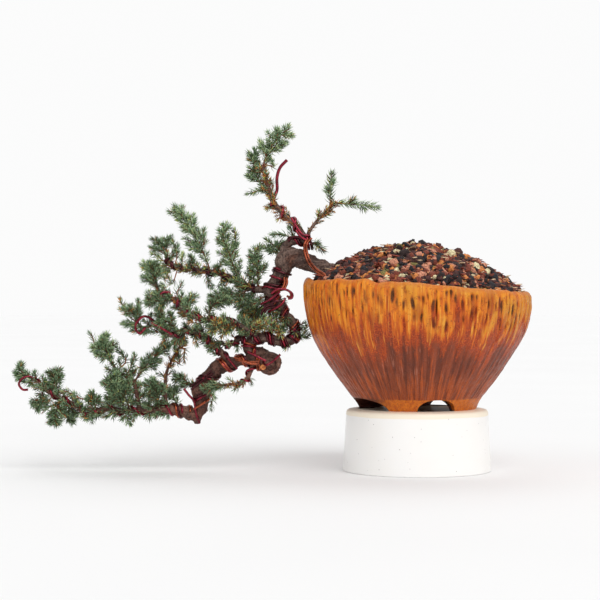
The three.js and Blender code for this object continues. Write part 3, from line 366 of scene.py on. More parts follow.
def pick(piece):
    clear_selection()
    piece.select_set(True)
    bpy.context.view_layer.objects.active = piece


def settle(piece):
    """Puts an object's place, turn and size into its mesh."""
    pick(piece)
    bpy.ops.object.transform_apply(location=True, rotation=True, scale=True)


def apply_modifier(piece, kind, name, **values):
    modifier = piece.modifiers.new(name, kind)
    for key, value in values.items():
        setattr(modifier, key, value)
    pick(piece)
    bpy.ops.object.modifier_apply(modifier=modifier.name)


def select_where(piece, kind, test):
    """In edit mode, selects the vertices, edges or faces whose middle passes the test."""
    bpy.ops.mesh.select_all(action="DESELECT")
    bpy.ops.mesh.select_mode(type=kind)
    shape = bmesh.from_edit_mesh(piece.data)
    for part in {"VERT": shape.verts, "EDGE": shape.edges, "FACE": shape.faces}[kind]:
        ends = [part.co] if kind == "VERT" else [vertex.co for vertex in part.verts]
        part.select_set(test(sum(ends, Vector()) / len(ends)))
    shape.select_flush_mode()
    bmesh.update_edit_mesh(piece.data)


def edit_all(piece):
    """Opens a piece in edit mode with everything in it selected."""
    pick(piece)
    bpy.ops.object.mode_set(mode="EDIT")
    bpy.ops.mesh.select_all(action="SELECT")


def corners_of(piece, kind="co"):
    """Each corner's place, or its normal, as rows of three."""
    rows = np.empty(len(piece.data.vertices) * 3)
    piece.data.vertices.foreach_get(kind, rows)
    return rows.reshape(-1, 3)


def set_corners(piece, places):
    piece.data.vertices.foreach_set("co", np.asarray(places, float).ravel())
    piece.data.update()


def write_attribute(piece, name, kind, values):
    layer = piece.data.attributes.new(name, kind, "POINT")
    layer.data.foreach_set("vector" if kind == "FLOAT_VECTOR" else "value", np.asarray(values, float).ravel())


def new_object(name, data):
    piece = bpy.data.objects.new(name, data)
    bpy.context.scene.collection.objects.link(piece)
    return piece


def mesh_piece(name, points, triangles, kinds):
    """A mesh object from arrays of corners in millimetres and triangles, with a material number for each."""
    shape = bpy.data.meshes.new(name)
    shape.vertices.add(len(points))
    shape.vertices.foreach_set("co", (np.asarray(points, float) * MM).ravel())
    shape.loops.add(len(triangles) * 3)
    shape.loops.foreach_set("vertex_index", np.asarray(triangles, np.int32).ravel())
    shape.polygons.add(len(triangles))
    shape.polygons.foreach_set("loop_start", np.arange(0, len(triangles) * 3, 3, dtype=np.int32))
    shape.polygons.foreach_set("material_index", np.asarray(kinds, np.int32))
    shape.update(calc_edges=True)
    return new_object(name, shape)


def hand_over(piece, nodes, finishes=()):
    """The piece takes its finishes and a slot, rides on the one body and stands for its nodes."""
    for finish in finishes:
        piece.data.materials.append(finish)
    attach(piece, "root")
    if nodes:
        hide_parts(*nodes)


def dice(seed):
    """The same repeatable run of numbers from 0 to 1 that the model's growth rule rolls."""
    mask = 0xFFFFFFFF
    state = seed & mask

    def roll():
        nonlocal state
        state = (state + 0x6D2B79F5) & mask
        mixed = ((state ^ (state >> 15)) * (1 | state)) & mask
        mixed = ((mixed + (((mixed ^ (mixed >> 7)) * (61 | mixed)) & mask)) ^ mixed) & mask
        return ((mixed ^ (mixed >> 14)) & mask) / 4294967296

    return roll


# Finishes

class Finish:
    """A procedural material, built up node by node on object coordinates."""

    def __init__(self, name, base=(0.5, 0.5, 0.5), roughness=0.5, metallic=0.0, coat=0.0):
        self.material = bpy.data.materials.new(name)
        self.material.use_nodes = True
        self.tree = self.material.node_tree
        self.shader = self.tree.nodes["Principled BSDF"]
        for key, value in (("Base Color", (*base, 1)), ("Roughness", roughness), ("Metallic", metallic),
                           ("Coat Weight", coat), ("Coat Roughness", 0.12)):
            self.feed(self.shader.inputs[key], value)
        self.place = self.node("ShaderNodeTexCoord").outputs["Object"]

    def feed(self, socket, value):
        """Gives a socket a link or a plain value."""
        if isinstance(value, bpy.types.NodeSocket):
            self.tree.links.new(value, socket)
        else:
            socket.default_value = value

    def node(self, kind, values=None, **settings):
        made = self.tree.nodes.new(kind)
        for key, value in settings.items():
            setattr(made, key, value)
        for key, value in (values or {}).items():
            self.feed(made.inputs[key], value)
        return made

    def attribute(self, name, kind="Fac"):
        return self.node("ShaderNodeAttribute", attribute_name=name).outputs[kind]

    def height(self, part="Z"):
        return self.node("ShaderNodeSeparateXYZ", {0: self.place}).outputs[part]

    def noise(self, scale, detail=3.0, roughness=0.55, vector=None, distortion=0.0):
        return self.node("ShaderNodeTexNoise", {
            "Vector": vector or self.place, "Scale": scale, "Detail": detail,
            "Roughness": roughness, "Distortion": distortion,
        }).outputs[0]

    def drawn(self, flow, squeeze, scale, detail, roughness, distortion=0.0):
        """Noise drawn out along the third direction of a flow."""
        vector = self.node("ShaderNodeMapping", {"Vector": flow, "Scale": (1, 1, squeeze)}).outputs[0]
        return self.noise(scale, detail, roughness, vector, distortion)

    def cells(self, scale):
        return self.node("ShaderNodeTexVoronoi", {"Vector": self.place, "Scale": scale}).outputs["Distance"]

    def maths(self, operation, first, second, clamp=False):
        return self.node("ShaderNodeMath", {0: first, 1: second}, operation=operation,
                         use_clamp=clamp).outputs[0]

    def add(self, first, second, clamp=False):
        return self.maths("ADD", first, second, clamp)

    def times(self, first, second):
        return self.maths("MULTIPLY", first, second)

    def swing(self, value, size):
        """A noise's swing to both sides of its middle."""
        return self.times(self.maths("SUBTRACT", value, 0.5), size)

    def spread(self, value, low, high, out_low=0.0, out_high=1.0):
        return self.node("ShaderNodeMapRange", {
            "Value": value, "From Min": low, "From Max": high, "To Min": out_low, "To Max": out_high,
        }, interpolation_type="SMOOTHSTEP").outputs[0]

    def mix(self, share, first, second):
        tones = [tone if isinstance(tone, bpy.types.NodeSocket) else (*tone, 1) for tone in (first, second)]
        return self.node("ShaderNodeMix", {0: share, 6: tones[0], 7: tones[1]}, data_type="RGBA").outputs[2]

    def over(self, tone, colour, share):
        """Lays a share of a colour over a tone."""
        return self.mix(share, tone, paint(*colour))

    def wash(self, tone, *rows):
        """Lays colours over a tone in turn: colour, pattern, from, to, and the share at each end."""
        for colour, pattern, low, high, *shares in rows:
            tone = self.over(tone, colour, self.spread(pattern, low, high, *shares))
        return tone

    def colour(self, tone):
        self.feed(self.shader.inputs["Base Color"], tone)

    def gloss(self, value):
        self.feed(self.shader.inputs["Roughness"], value)

    def bump(self, value, strength, distance):
        made = self.node("ShaderNodeBump", {"Height": value, "Strength": strength, "Distance": distance * MM})
        self.feed(self.shader.inputs["Normal"], made.outputs[0])


def plinth_finish(settings):
    """Speckled off-white glaze, and bare clay above the line where it stops."""
    finish = Finish("plinth_glaze", settings.body, 0.28, coat=0.15)
    specks = finish.spread(finish.cells(210), 0.05, 0.075, 1, 0)
    scattered = finish.times(specks, finish.spread(finish.noise(60, 1), 0.44, 0.5))
    level = finish.add(finish.height(), finish.times(finish.noise(30, 1), 1.6 * MM))
    band = finish.spread(level, settings.band_z, settings.band_z + 0.8 * MM)
    body = finish.wash(settings.body, ((252, 250, 246), finish.noise(18, 2), 0.3, 0.75))
    speckled = finish.over(body, (104, 92, 96), scattered)
    bare = finish.over(settings.band, (252, 240, 220), finish.noise(240, 4))
    finish.colour(finish.mix(band, speckled, bare))
    finish.gloss(finish.add(finish.times(band, 0.35), 0.28))
    finish.bump(finish.noise(700, 3), 0.12, 0.3)
    return finish.material


def bowl_finish(settings):
    """Golden glaze over the upper gouges, a rusty ragged edge, and a streaked red-brown body below, with
    painted sheen lines and painted shade in its flutes.
    """
    finish = Finish("carved_glaze", settings.body_colour, 0.4)
    finish.feed(finish.shader.inputs["Specular IOR Level"], 0.3)
    flow = finish.attribute("flow", "Vector")
    ridge, flute, lip, inward = (finish.attribute(name) for name in ("ridge", "flute", "lip", "inward"))
    level, rightward = finish.height(), finish.height("X")
    streaks = finish.drawn(flow, 0.1, 330, 4, 0.6)
    runs = finish.drawn(flow, 0.22, 150, 3, 0.55)
    threads = finish.drawn(flow, 0.07, 700, 3, 0.6)
    smears = finish.drawn(flow, 0.3, 90, 3, 0.5)
    patches, grit, mottle = finish.noise(24, 3, 0.5), finish.noise(900, 4, 0.7), finish.noise(260, 4, 0.65)

    # The lower wall, with painted light on the flutes' crests and painted shade in their hollows
    shade = finish.add(finish.times(flute, 0.2), finish.times(streaks, 0.9))
    body = finish.mix(finish.spread(shade, 0.34, 0.78), settings.body_colour, settings.body_light)
    body = finish.wash(
        body, ((150, 70, 38), patches, 0.44, 0.6, 0, 0.6), ((94, 50, 38), smears, 0.54, 0.68, 0, 0.5),
        ((92, 42, 26), flute, 0.0, 0.35, 0.3, 0))
    licks = finish.times(finish.spread(streaks, 0.52, 0.59), finish.spread(runs, 0.46, 0.58))
    body = finish.over(body, (200, 88, 32), finish.times(licks, 0.6))
    # Painted sheen: thin pale pinkish lines where the glossy ridges would catch the light
    painted_sheen = finish.times(finish.spread(threads, 0.57, 0.68), finish.spread(smears, 0.44, 0.56))
    body = finish.over(body, (200, 128, 104), finish.times(painted_sheen, 0.7))
    low = finish.spread(level, 0.074, 0.096, 1, 0)
    body = finish.over(body, (186, 88, 38), finish.times(low, finish.spread(streaks, 0.44, 0.6, 0.1, 0.8)))
    body = finish.wash(
        body, ((192, 98, 52), grit, 0.58, 0.72, 0, 0.4), ((88, 44, 30), mottle, 0.6, 0.72, 0, 0.5))

    # How far down the golden glaze runs, in metres above its ragged edge
    edge = finish.maths("SUBTRACT", level, settings.glaze_edge)
    for wobble, size in ((runs, 0.085), (patches, 0.07), (threads, 0.03), (ridge, 0.006)):
        edge = finish.add(edge, finish.swing(wobble, size))
    glazed = finish.spread(edge, -0.003, 0.004)
    rust = finish.add(finish.spread(edge, -0.026, -0.002), finish.swing(mottle, 1.6), clamp=True)
    rust = finish.times(rust, finish.spread(edge, -0.03, -0.014))
    rusty = finish.wash(paint(146, 54, 26), ((206, 88, 32), grit, 0.42, 0.6))
    tone = finish.mix(finish.times(rust, 0.9), body, rusty)

    # The glaze itself: redder at its edge, golden above and yellower to the right
    high = finish.spread(edge, 0.0, 0.024)
    thin = finish.mix(finish.spread(streaks, 0.36, 0.62), paint(170, 66, 24), settings.glaze_deep)
    thick = finish.mix(finish.spread(streaks, 0.36, 0.6), settings.glaze_deep, settings.glaze_colour)
    hot = finish.mix(high, thin, thick)
    golden = finish.spread(finish.add(patches, finish.times(rightward, 2.4)), 0.46, 0.72, 0, 0.65)
    hot = finish.over(hot, (206, 148, 52), finish.times(golden, high))
    hot = finish.wash(
        hot, ((242, 170, 70), threads, 0.54, 0.66, 0, 0.65), ((168, 84, 30), smears, 0.54, 0.66, 0, 0.6),
        ((180, 80, 28), mottle, 0.54, 0.66, 0, 0.65), ((172, 80, 28), ridge, 0.4, 0.95, 0.75, 0))

    # Olive in the gouges, then pits, the rim's lip, the glazed feet, darker on the left as painted shade and
    # bare clay, and the inner side, darker as bare clay and painted shade under the bowl
    gaps = finish.add(finish.add(ridge, finish.swing(runs, 1.0)), finish.swing(mottle, 0.5))
    olive = finish.wash(paint(60, 46, 28), ((112, 66, 32), grit, 0.42, 0.6))
    olive = finish.mix(high, paint(118, 50, 26), olive)
    hot = finish.mix(finish.spread(gaps, 0.3, 0.68, 0.95, 0), hot, olive)
    tone = finish.mix(glazed, tone, hot)
    pits = finish.times(finish.spread(finish.cells(400), 0.08, 0.2, 1, 0),
                        finish.spread(finish.noise(80, 2), 0.48, 0.58))
    tone = finish.over(tone, (56, 34, 24), finish.times(pits, 0.75))
    lip_tone = finish.wash(
        paint(190, 92, 30), ((216, 128, 44), mottle, 0.4, 0.62), ((206, 130, 62), smears, 0.5, 0.62, 0, 0.6))
    tone = finish.mix(finish.times(finish.spread(lip, 0.2, 0.9), 0.6), tone, lip_tone)
    feet = finish.spread(finish.add(level, finish.times(mottle, 2.4 * MM)),
                         settings.foot_line, settings.foot_line + 1.4 * MM, 1, 0)
    # The feet on the left go dark brown: painted shade, partly bare clay
    foot_tone = finish.wash(
        paint(218, 120, 36), ((184, 88, 32), mottle, 0.36, 0.7), ((128, 64, 32), grit, 0.52, 0.66, 0, 0.6),
        ((80, 38, 26), rightward, -0.04, -0.026, 0.85, 0))
    tone = finish.mix(feet, tone, foot_tone)
    # Darker on the faces that look inward under the bowl: bare clay, and painted shade in the arches and
    # under the bowl
    finish.colour(finish.wash(tone, ((84, 42, 30), inward, 0.35, 0.65)))
    finish.gloss(finish.spread(finish.noise(150, 3), 0.3, 0.8, 0.3, 0.55))
    relief = finish.add(finish.times(streaks, 0.7), finish.times(grit, 0.6))
    finish.bump(finish.add(relief, finish.times(mottle, 0.5)), 1.0, 1.2)
    return finish.material


def grain_finish(name, tone, roughness=0.85):
    """Crushed rock: a plain base colour with fine pits and dust."""
    finish = Finish(name, tone, roughness)
    lighter = tuple(min(1, channel * 1.45 + 0.012) for channel in tone)
    darker = tuple(channel * 0.55 for channel in tone)
    finish.colour(finish.mix(finish.spread(finish.noise(900, 3), 0.35, 0.68), darker, lighter))
    finish.bump(finish.noise(1500, 3), 0.5, 0.4)
    return finish.material


def bark_finish(settings):
    """Stringy juniper bark: grey-brown above, redder below, with pale lifted strips."""
    finish = Finish("juniper_bark", settings.bark, 0.66)
    grain = finish.attribute("grain", "Vector")
    strips = finish.drawn(grain, 0.16, 150, 4, 0.6, 0.6)
    plates = finish.drawn(grain, 0.5, 70, 3, 0.5)
    low = finish.spread(finish.height(), 0.088, 0.125, 1, 0)
    upper = finish.mix(finish.spread(strips, 0.36, 0.66), settings.bark, settings.bark_light)
    lower = finish.wash(settings.bark_red, ((134, 92, 76), strips, 0.36, 0.66))
    tone = finish.wash(
        finish.mix(low, upper, lower), ((130, 80, 56), plates, 0.56, 0.68, 0, 0.6),
        ((54, 37, 34), finish.noise(130, 3), 0.52, 0.66, 0, 0.6),
        ((40, 28, 26), finish.noise(620, 3, 0.6), 0.52, 0.62, 0, 0.75),
        ((146, 112, 92), finish.noise(480, 4, 0.65), 0.58, 0.68, 0, 0.7))
    # Painted shade: darker in the furrows that bark_map sinks into the bark
    furrows = finish.spread(finish.attribute("furrow"), 0.1, 0.5, 1, 0)
    finish.colour(finish.over(tone, (36, 25, 23), finish.times(furrows, 0.8)))
    finish.bump(finish.add(strips, finish.noise(420, 4, 0.65)), 1.0, 1.1)
    return finish.material


def cut_wood_finish():
    finish = Finish("pruned_wood", paint(205, 120, 60), 0.7)
    rings = finish.noise(500, 3)
    finish.colour(finish.wash(paint(176, 92, 46), ((226, 150, 86), rings, 0.35, 0.65)))
    finish.bump(rings, 0.3, 0.3)
    return finish.material


def wire_finish(name, tone):
    """Coloured aluminium, scuffed by the pliers."""
    finish = Finish(name, tone, 0.3, metallic=0.8, coat=0.35)
    scuffs = finish.noise(260, 3)
    darker = tuple(channel * 0.35 for channel in tone)
    finish.colour(finish.mix(finish.spread(scuffs, 0.3, 0.6), darker, tone))
    finish.gloss(finish.spread(scuffs, 0.3, 0.7, 0.36, 0.18))
    finish.bump(finish.noise(500, 2), 0.12, 0.2)
    return finish.material


def leaf_finish(name, tone, roughness=0.5):
    finish = Finish(name, tone, roughness)
    dusted = tuple(min(1, channel * 1.25 + 0.01) for channel in tone)
    finish.colour(finish.mix(finish.spread(finish.noise(420, 2), 0.35, 0.65), tone, dusted))
    return finish.material


# Routes, limbs and tubes

def placed(point):
    """A point of the front view, set at its own distance from the eye."""
    across, up, away = point[:3]
    scale = (EYE_DISTANCE + away) / EYE_DISTANCE
    return Vector((EYE_ACROSS + (across - EYE_ACROSS) * scale, away, EYE_UP + (up - EYE_UP) * scale))


class Curve:
    """A smooth curve through points, read by the number of a point."""

    def __init__(self, points):
        first = points[0] * 2 - points[1]
        after = points[-1] * 2 - points[-2]
        self.points = [first, *points, after]
        self.last = len(points) - 1

    def point_at(self, place):
        place = min(max(place, 0), self.last)
        low = min(int(place), self.last - 1)
        t = place - low
        before, start, end, after = self.points[low:low + 4]
        pull, push = (end - before) / 2, (after - start) / 2
        return (start + pull * t + (start * -3 + end * 3 - pull * 2 - push) * t * t
                + (start * 2 - end * 2 + pull + push) * t * t * t)

    def along_at(self, place):
        low = min(max(place - 0.01, 0), self.last - 0.02)
        return (self.point_at(low + 0.02) - self.point_at(low)).normalized()

    def walk(self, spacing):
        """Places along the curve about this far apart."""
        places = []
        for number in range(self.last):
            span = (self.point_at(number) - self.point_at(number + 1)).length
            steps = max(1, round(span / spacing))
            places.extend(number + step / steps for step in range(steps))
        return [*places, self.last]


class Limb(Curve):
    def __init__(self, route):
        super().__init__([placed(point) for point in route])
        self.radii = [point[3] / 2 for point in route]

    def radius_at(self, place):
        place = min(max(place, 0), self.last)
        low = min(int(place), self.last - 1)
        return self.radii[low] + (self.radii[low + 1] - self.radii[low]) * (place - low)


limbs = {name: Limb(route) for name, route in ROUTES.items()}


def smooth_path(points, spacing=1.0):
    curve = Curve(points)
    return [curve.point_at(place) for place in curve.walk(spacing)]


def path_frames(path):
    """Directions along and across a path that turn with it as little as they can."""
    frames = []
    across = None
    for number, _ in enumerate(path):
        along = (path[min(number + 1, len(path) - 1)] - path[max(number - 1, 0)]).normalized()
        if across is None:
            across = Vector((0, 1, 0)) if abs(along.y) < 0.9 else Vector((1, 0, 0))
        across = (across - along * across.dot(along)).normalized()
        frames.append((along, across, along.cross(across)))
    return frames


def sweep(name, runs, roundness, finishes=(), kinds=None):
    """Round tubes along runs of (points, radii), in millimetres, as one mesh with a finish for each kind."""
    line = bpy.data.curves.new(name, "CURVE")
    line.dimensions = "3D"
    line.bevel_depth = MM
    line.bevel_resolution = roundness
    line.use_fill_caps = True
    line.twist_mode = "MINIMUM"
    for finish in finishes:
        line.materials.append(finish)
    for number, (points, radii) in enumerate(runs):
        spline = line.splines.new("POLY")
        spline.points.add(len(points) - 1)
        spline.points.foreach_set("co", [value for point in points for value in (*(point * MM), 1)])
        spline.points.foreach_set("radius", list(radii))
        if kinds:
            spline.material_index = kinds[number]
    pick(new_object(name, line))
    bpy.ops.object.convert(target="MESH")
    return bpy.context.object


def weld(piece, distance):
    """Merges doubled corners and turns every face outwards."""
    edit_all(piece)
    bpy.ops.mesh.remove_doubles(threshold=distance * MM)
    bpy.ops.mesh.normals_make_consistent(inside=False)
    bpy.ops.object.mode_set(mode="OBJECT")


# Settings that a user would change

def length_setting(name, text, size, **limits):
    return bpy.props.FloatProperty(name=name, description=text, default=size * MM, unit="LENGTH", **limits)


def count_setting(name, text, number, fewest, most):
    return bpy.props.IntProperty(name=name, description=text, default=number, min=fewest, max=most)


def colour_setting(name, text, *tone):
    return bpy.props.FloatVectorProperty(
        name=name, description=text, default=paint(*tone), subtype="COLOR", size=3, min=0, max=1)


class StandSettings(bpy.types.PropertyGroup):
    lip: length_setting("Lip", "How far the top edge is rounded", STAND_LIP, min=0.5 * MM, max=6 * MM)
    band_z: length_setting("Bare band", "Height at which the glaze stops below the lip", STAND_HEIGHT - 4.4)
    body: colour_setting("Glaze", "Colour of the plinth's glaze", 254, 253, 251)
    band: colour_setting("Bare clay", "Colour of the unglazed rim", 252, 240, 218)


class BowlSettings(bpy.types.PropertyGroup):
    gouges: count_setting("Gouges", "Gouges carved round the bowl under its rim", 150, 20, 220)
    flutes: count_setting("Flutes", "Soft flutes down the lower wall", 66, 10, 120)
    relief: length_setting("Relief", "Depth of a gouge", 2.4, min=0, max=4 * MM)
    glaze_edge: length_setting("Glaze edge", "Height at which the golden glaze stops, on average", 128)
    foot_line: length_setting("Foot line", "Height of the glazed feet", 66.6)
    glaze_colour: colour_setting("Glaze", "Colour of the thick glaze", 242, 146, 36)
    glaze_deep: colour_setting("Thin glaze", "Colour of the glaze where it thins", 218, 104, 28)
    body_colour: colour_setting("Body", "Colour of the lower wall", 106, 50, 30)
    # The lighter tone also carries the painted light on the crests of the lower wall's flutes
    body_light: colour_setting("Body lights", "Colour of the lower wall's raised streaks", 146, 70, 42)


class SoilSettings(bpy.types.PropertyGroup):
    grains: count_setting("Grains", "Grains on the mound", 3000, 100, 9000)
    smallest: length_setting("Smallest", "Smallest grain", 3.4)
    largest: length_setting("Largest", "Largest grain", 11.5)


class WoodSettings(bpy.types.PropertyGroup):
    relief: length_setting("Relief", "Depth of the bark's furrows", 1.3)
    bark: colour_setting("Bark", "Colour of the upper trunk", 74, 50, 43)
    bark_light: colour_setting("Lifted bark", "Colour of the strips that stand up", 134, 110, 98)
    bark_red: colour_setting("Young bark", "Colour of the lower trunk", 92, 56, 46)
    wire_radius: length_setting(
        "Wire radius", "Half the training wire's diameter", 1.1, min=0.3 * MM, max=2 * MM)


class FoliageSettings(bpy.types.PropertyGroup):
    needle_length: length_setting("Needle length", "Length of a full needle", 6.3)
    needle_width: length_setting("Needle width", "Width of a full needle", 0.95)
    needle_lean: bpy.props.FloatProperty(
        name="Needle lean", description="Angle between a needle and its shoot",
        default=math.radians(50), subtype="ANGLE")
    whorl_step: length_setting("Whorl step", "Distance between whorls of three", 1.6)
    twig_step: length_setting("Twig step", "Distance between side twigs", 2.6)


# Plinth

class PlinthOperator(bpy.types.Operator):
    """Turns the round plinth, rounds its lip and gives it a speckled glaze"""

    bl_idname = "juniper.plinth"
    bl_label = "Plinth"

    def execute(self, context):
        settings = context.scene.juniper_stand
        height = STAND_HEIGHT * MM
        clear_selection()
        bpy.ops.mesh.primitive_cylinder_add(
            vertices=160, radius=STAND_FOOT_RADIUS * MM, depth=height, location=(0, 0, height / 2))
        piece = context.object
        piece.name = "plinth"
        settle(piece)
        bpy.ops.object.mode_set(mode="EDIT")
        select_where(piece, "FACE", lambda middle: middle.z > height * 0.99)
        share = STAND_TOP_RADIUS / STAND_FOOT_RADIUS
        bpy.ops.transform.resize(value=(share, share, 1), center_override=(0, 0, height))
        select_where(piece, "EDGE", lambda middle: middle.z > height * 0.99)
        bpy.ops.mesh.bevel(offset=settings.lip, segments=6)
        select_where(piece, "FACE", lambda middle: middle.z > height * 0.999)
        bpy.ops.mesh.inset(thickness=STAND_WELL_EDGE * MM)
        bpy.ops.transform.translate(value=(0, 0, -STAND_WELL_DEPTH * MM))
        select_where(piece, "EDGE", lambda middle: middle.z < height * 0.01)
        bpy.ops.mesh.bevel(offset=STAND_FOOT_ROUNDING * MM, segments=3)
        bpy.ops.object.mode_set(mode="OBJECT")
        bpy.ops.object.shade_smooth_by_angle(angle=math.radians(40))
        hand_over(piece, ["stand"], [plinth_finish(settings)])
        return {"FINISHED"}


# Bowl

def rim_lift(places):
    """How far the rim's slope and waves lift each corner, in millimetres."""
    share = np.clip((places[:, 2] - POT_TILT_START_Z) / (POT_TILT_END_Z - POT_TILT_START_Z), 0, 1)
    weight = share * share * (3 - 2 * share)
    turn = np.arctan2(places[:, 1], places[:, 0])
    return weight * (RIM_SLOPE * places[:, 0] + RIM_WAVE * np.sin(RIM_WAVES * turn + RIM_WAVE_TURN))


def gouge_depths(places, count):
    """Short uneven gouges under the rim: 1 at the bottom of a gouge and 0 beside it."""
    roll = dice(GOUGE_SEED)
    turn = np.arctan2(places[:, 1], places[:, 0])
    level = places[:, 2]
    depths = np.zeros(len(places))
    for number in range(count):
        middle = 2 * math.pi * (number + 0.7 * (roll() - 0.5)) / count - math.pi
        half = math.pi / count * (0.45 + 0.6 * roll())
        wave, pace, start = 0.012 * roll(), 0.08 + 0.14 * roll(), 6.3 * roll()
        top, foot = 157 + 8 * roll(), 116 + 34 * roll()
        strength = 0.5 + 0.5 * roll()
        offset = turn - middle - wave * np.sin(level * pace + start)
        offset = np.abs((offset + math.pi) % (2 * math.pi) - math.pi) / half
        groove = np.clip(1 - offset * offset, 0, 1)
        ends = np.clip((top - level) / 3, 0, 1) * np.clip((level - foot) / 9, 0, 1)
        broken = 0.72 + 0.28 * np.sin(level * (0.3 + 16 * wave) + start * 3)
        depths = np.maximum(depths, groove * ends * broken * strength)
    return depths


def flute_heights(places, count):
    """Broad soft flutes of uneven width: 1 on a crest and 0 between two."""
    turn = np.arctan2(places[:, 1], places[:, 0])
    level = places[:, 2]
    phase = count * turn + 1.7 * np.sin(3 * turn + 1) + 1.1 * np.sin(7 * turn) + 1.6 * np.sin(13 * turn + 2)
    phase += 0.5 * np.sin(level * 0.06 + 5 * turn)
    return 0.5 + 0.5 * np.cos(phase)


def rim_bumps(places):
    """How far the swells and dents of the rim lift each corner."""
    turn = np.degrees(np.arctan2(places[:, 1], places[:, 0]))
    rise = np.zeros(len(places))
    for middle, half, height in RIM_BUMPS:
        offset = (turn - middle + 180) % 360 - 180
        rise += height * np.exp(-(offset / half) ** 2)
    return rise


class BowlOperator(bpy.types.Operator):
    """Spins the bowl's profile, cuts the arches between its feet and carves its ridges"""

    bl_idname = "juniper.bowl"
    bl_label = "Bowl"

    def execute(self, context):
        settings = context.scene.juniper_bowl
        piece = self.spun_wall()
        for angle, half_width in ARCHES:
            self.cut_arch(piece, angle, half_width)
        self.carve(piece, settings)
        bpy.ops.object.shade_smooth_by_angle(angle=math.radians(50))
        hand_over(piece, ["pot"], [bowl_finish(settings)])
        return {"FINISHED"}

    def profile(self):
        """The wall's outline from the middle of its underside, up the outside and down inside."""
        underside = STAND_HEIGHT + FOOT_HEIGHT
        foot = [(FOOT_INNER_RADIUS, POT_BASE_Z), (47, POT_BASE_Z), (51.6, POT_BASE_Z + 0.1),
                (FOOT_OUTER_RADIUS, POT_BASE_Z + 0.5)]
        wall = Curve([Vector((r, 0, z)) for r, z in (foot[-1], *OUTER_WALL, *RIM_LIP)])
        outer = [wall.point_at(place) for place in wall.walk(1.0)]
        return [(0.5, underside), (FOOT_INNER_RADIUS - FOOT_DRAFT, underside), *foot[:3],
                *((point.x, point.z) for point in outer), *INNER_WALL]

    def spun_wall(self):
        shape = bpy.data.meshes.new("bowl")
        outline = self.profile()
        shape.from_pydata([(r * MM, 0, z * MM) for r, z in outline],
                          [(i, i + 1) for i in range(len(outline) - 1)], [])
        piece = new_object("bowl", shape)
        edit_all(piece)
        bpy.ops.mesh.spin(steps=WALL_STEPS_ROUND, angle=2 * math.pi, center=(0, 0, 0), axis=(0, 0, 1))
        bpy.ops.mesh.select_all(action="SELECT")
        bpy.ops.mesh.remove_doubles(threshold=0.02 * MM)
        for low, high in ((0, 70 * MM), (90 * MM, 100 * MM)):
            select_where(piece, "VERT",
                         lambda place: place.xy.length < POLE_RADIUS * MM and low < place.z < high)
            bpy.ops.mesh.merge(type="CENTER")
        bpy.ops.mesh.select_all(action="SELECT")
        bpy.ops.mesh.normals_make_consistent(inside=False)
        bpy.ops.object.mode_set(mode="OBJECT")
        return piece

    def cut_arch(self, piece, angle, half_width):
        clear_selection()
        bpy.ops.mesh.primitive_cylinder_add(vertices=64, radius=1, depth=1, rotation=(math.pi / 2, 0, 0))
        cutter = bpy.context.object
        settle(cutter)
        places = corners_of(cutter)
        places[:, 0] = half_width * np.sign(places[:, 0]) * np.abs(places[:, 0]) ** ARCH_SQUARENESS
        places[:, 2] = FOOT_HEIGHT * np.sign(places[:, 2]) * np.abs(places[:, 2]) ** ARCH_SQUARENESS
        depth = ARCH_OUTER_REACH - ARCH_INNER_REACH
        places[:, 1] = (places[:, 1] * depth) - (ARCH_OUTER_REACH + ARCH_INNER_REACH) / 2
        places[:, 2] += STAND_HEIGHT
        turn = np.array(Matrix.Rotation(math.radians(angle), 3, "Z"))
        set_corners(cutter, places @ turn.T * MM)
        apply_modifier(piece, "BOOLEAN", "arch", operation="DIFFERENCE", object=cutter, solver="EXACT")
        bpy.data.objects.remove(cutter)

    def carve(self, piece, settings):
        """Cuts gouges and flutes, roughs the wall, lifts the rim and notes what the glaze reads."""
        places = corners_of(piece) / MM
        normals = corners_of(piece, "normal")
        level = places[:, 2]
        radius = np.maximum(np.hypot(places[:, 0], places[:, 1]), 1)
        facing = (normals[:, :2] * places[:, :2]).sum(axis=1) / radius
        gouges = gouge_depths(places, settings.gouges)
        flutes = flute_heights(places, settings.flutes)
        outside = np.clip((radius - 40 - 0.45 * (level - 55)) / 4, 0, 1) * ((level < 164) & (radius > 50))
        lumpy = np.array([noise.noise(Vector(place) * BROAD_PITCH) for place in places])
        fine = np.array([noise.noise(Vector(place) * FINE_PITCH) for place in places * (1, 1, 0.4)])
        wavy = np.array([noise.noise(Vector(place) * RIM_PITCH) for place in places])
        low = np.clip((126 - level) / 26, 0, 1) * np.clip((level - 64) / 8, 0, 1)
        push = FINE_SWELL * fine + BROAD_SWELL * lumpy
        push = push - gouges * settings.relief / MM - (1 - flutes) * FLUTE_DEPTH * low
        push = np.minimum(push, MOST_OUTWARD) * outside
        rim = np.clip((level - 152) / 10, 0, 1) * (radius > 93.5)
        lifted = places.copy()
        lifted[:, :2] += (push / radius)[:, None] * places[:, :2]
        lifted[:, 2] += rim_lift(places) + rim * (rim_bumps(places) + RIM_SWELL * wavy - 0.3)
        set_corners(piece, lifted * MM)
        around = places / radius[:, None] * 0.1
        around[:, 2] = level * MM
        write_attribute(piece, "ridge", "FLOAT", 1 - gouges * (outside > 0.2))
        write_attribute(piece, "flute", "FLOAT", np.where(outside > 0.2, flutes, 1))
        write_attribute(piece, "flow", "FLOAT_VECTOR", around)
        write_attribute(piece, "lip", "FLOAT", np.clip((level - 161 - 2 * wavy) / 4, 0, 1))
        # Low faces that look inward, for their bare clay and the painted shade under the bowl
        write_attribute(piece, "inward", "FLOAT", (level < 66.5) & (facing < 0.45))


# Soil

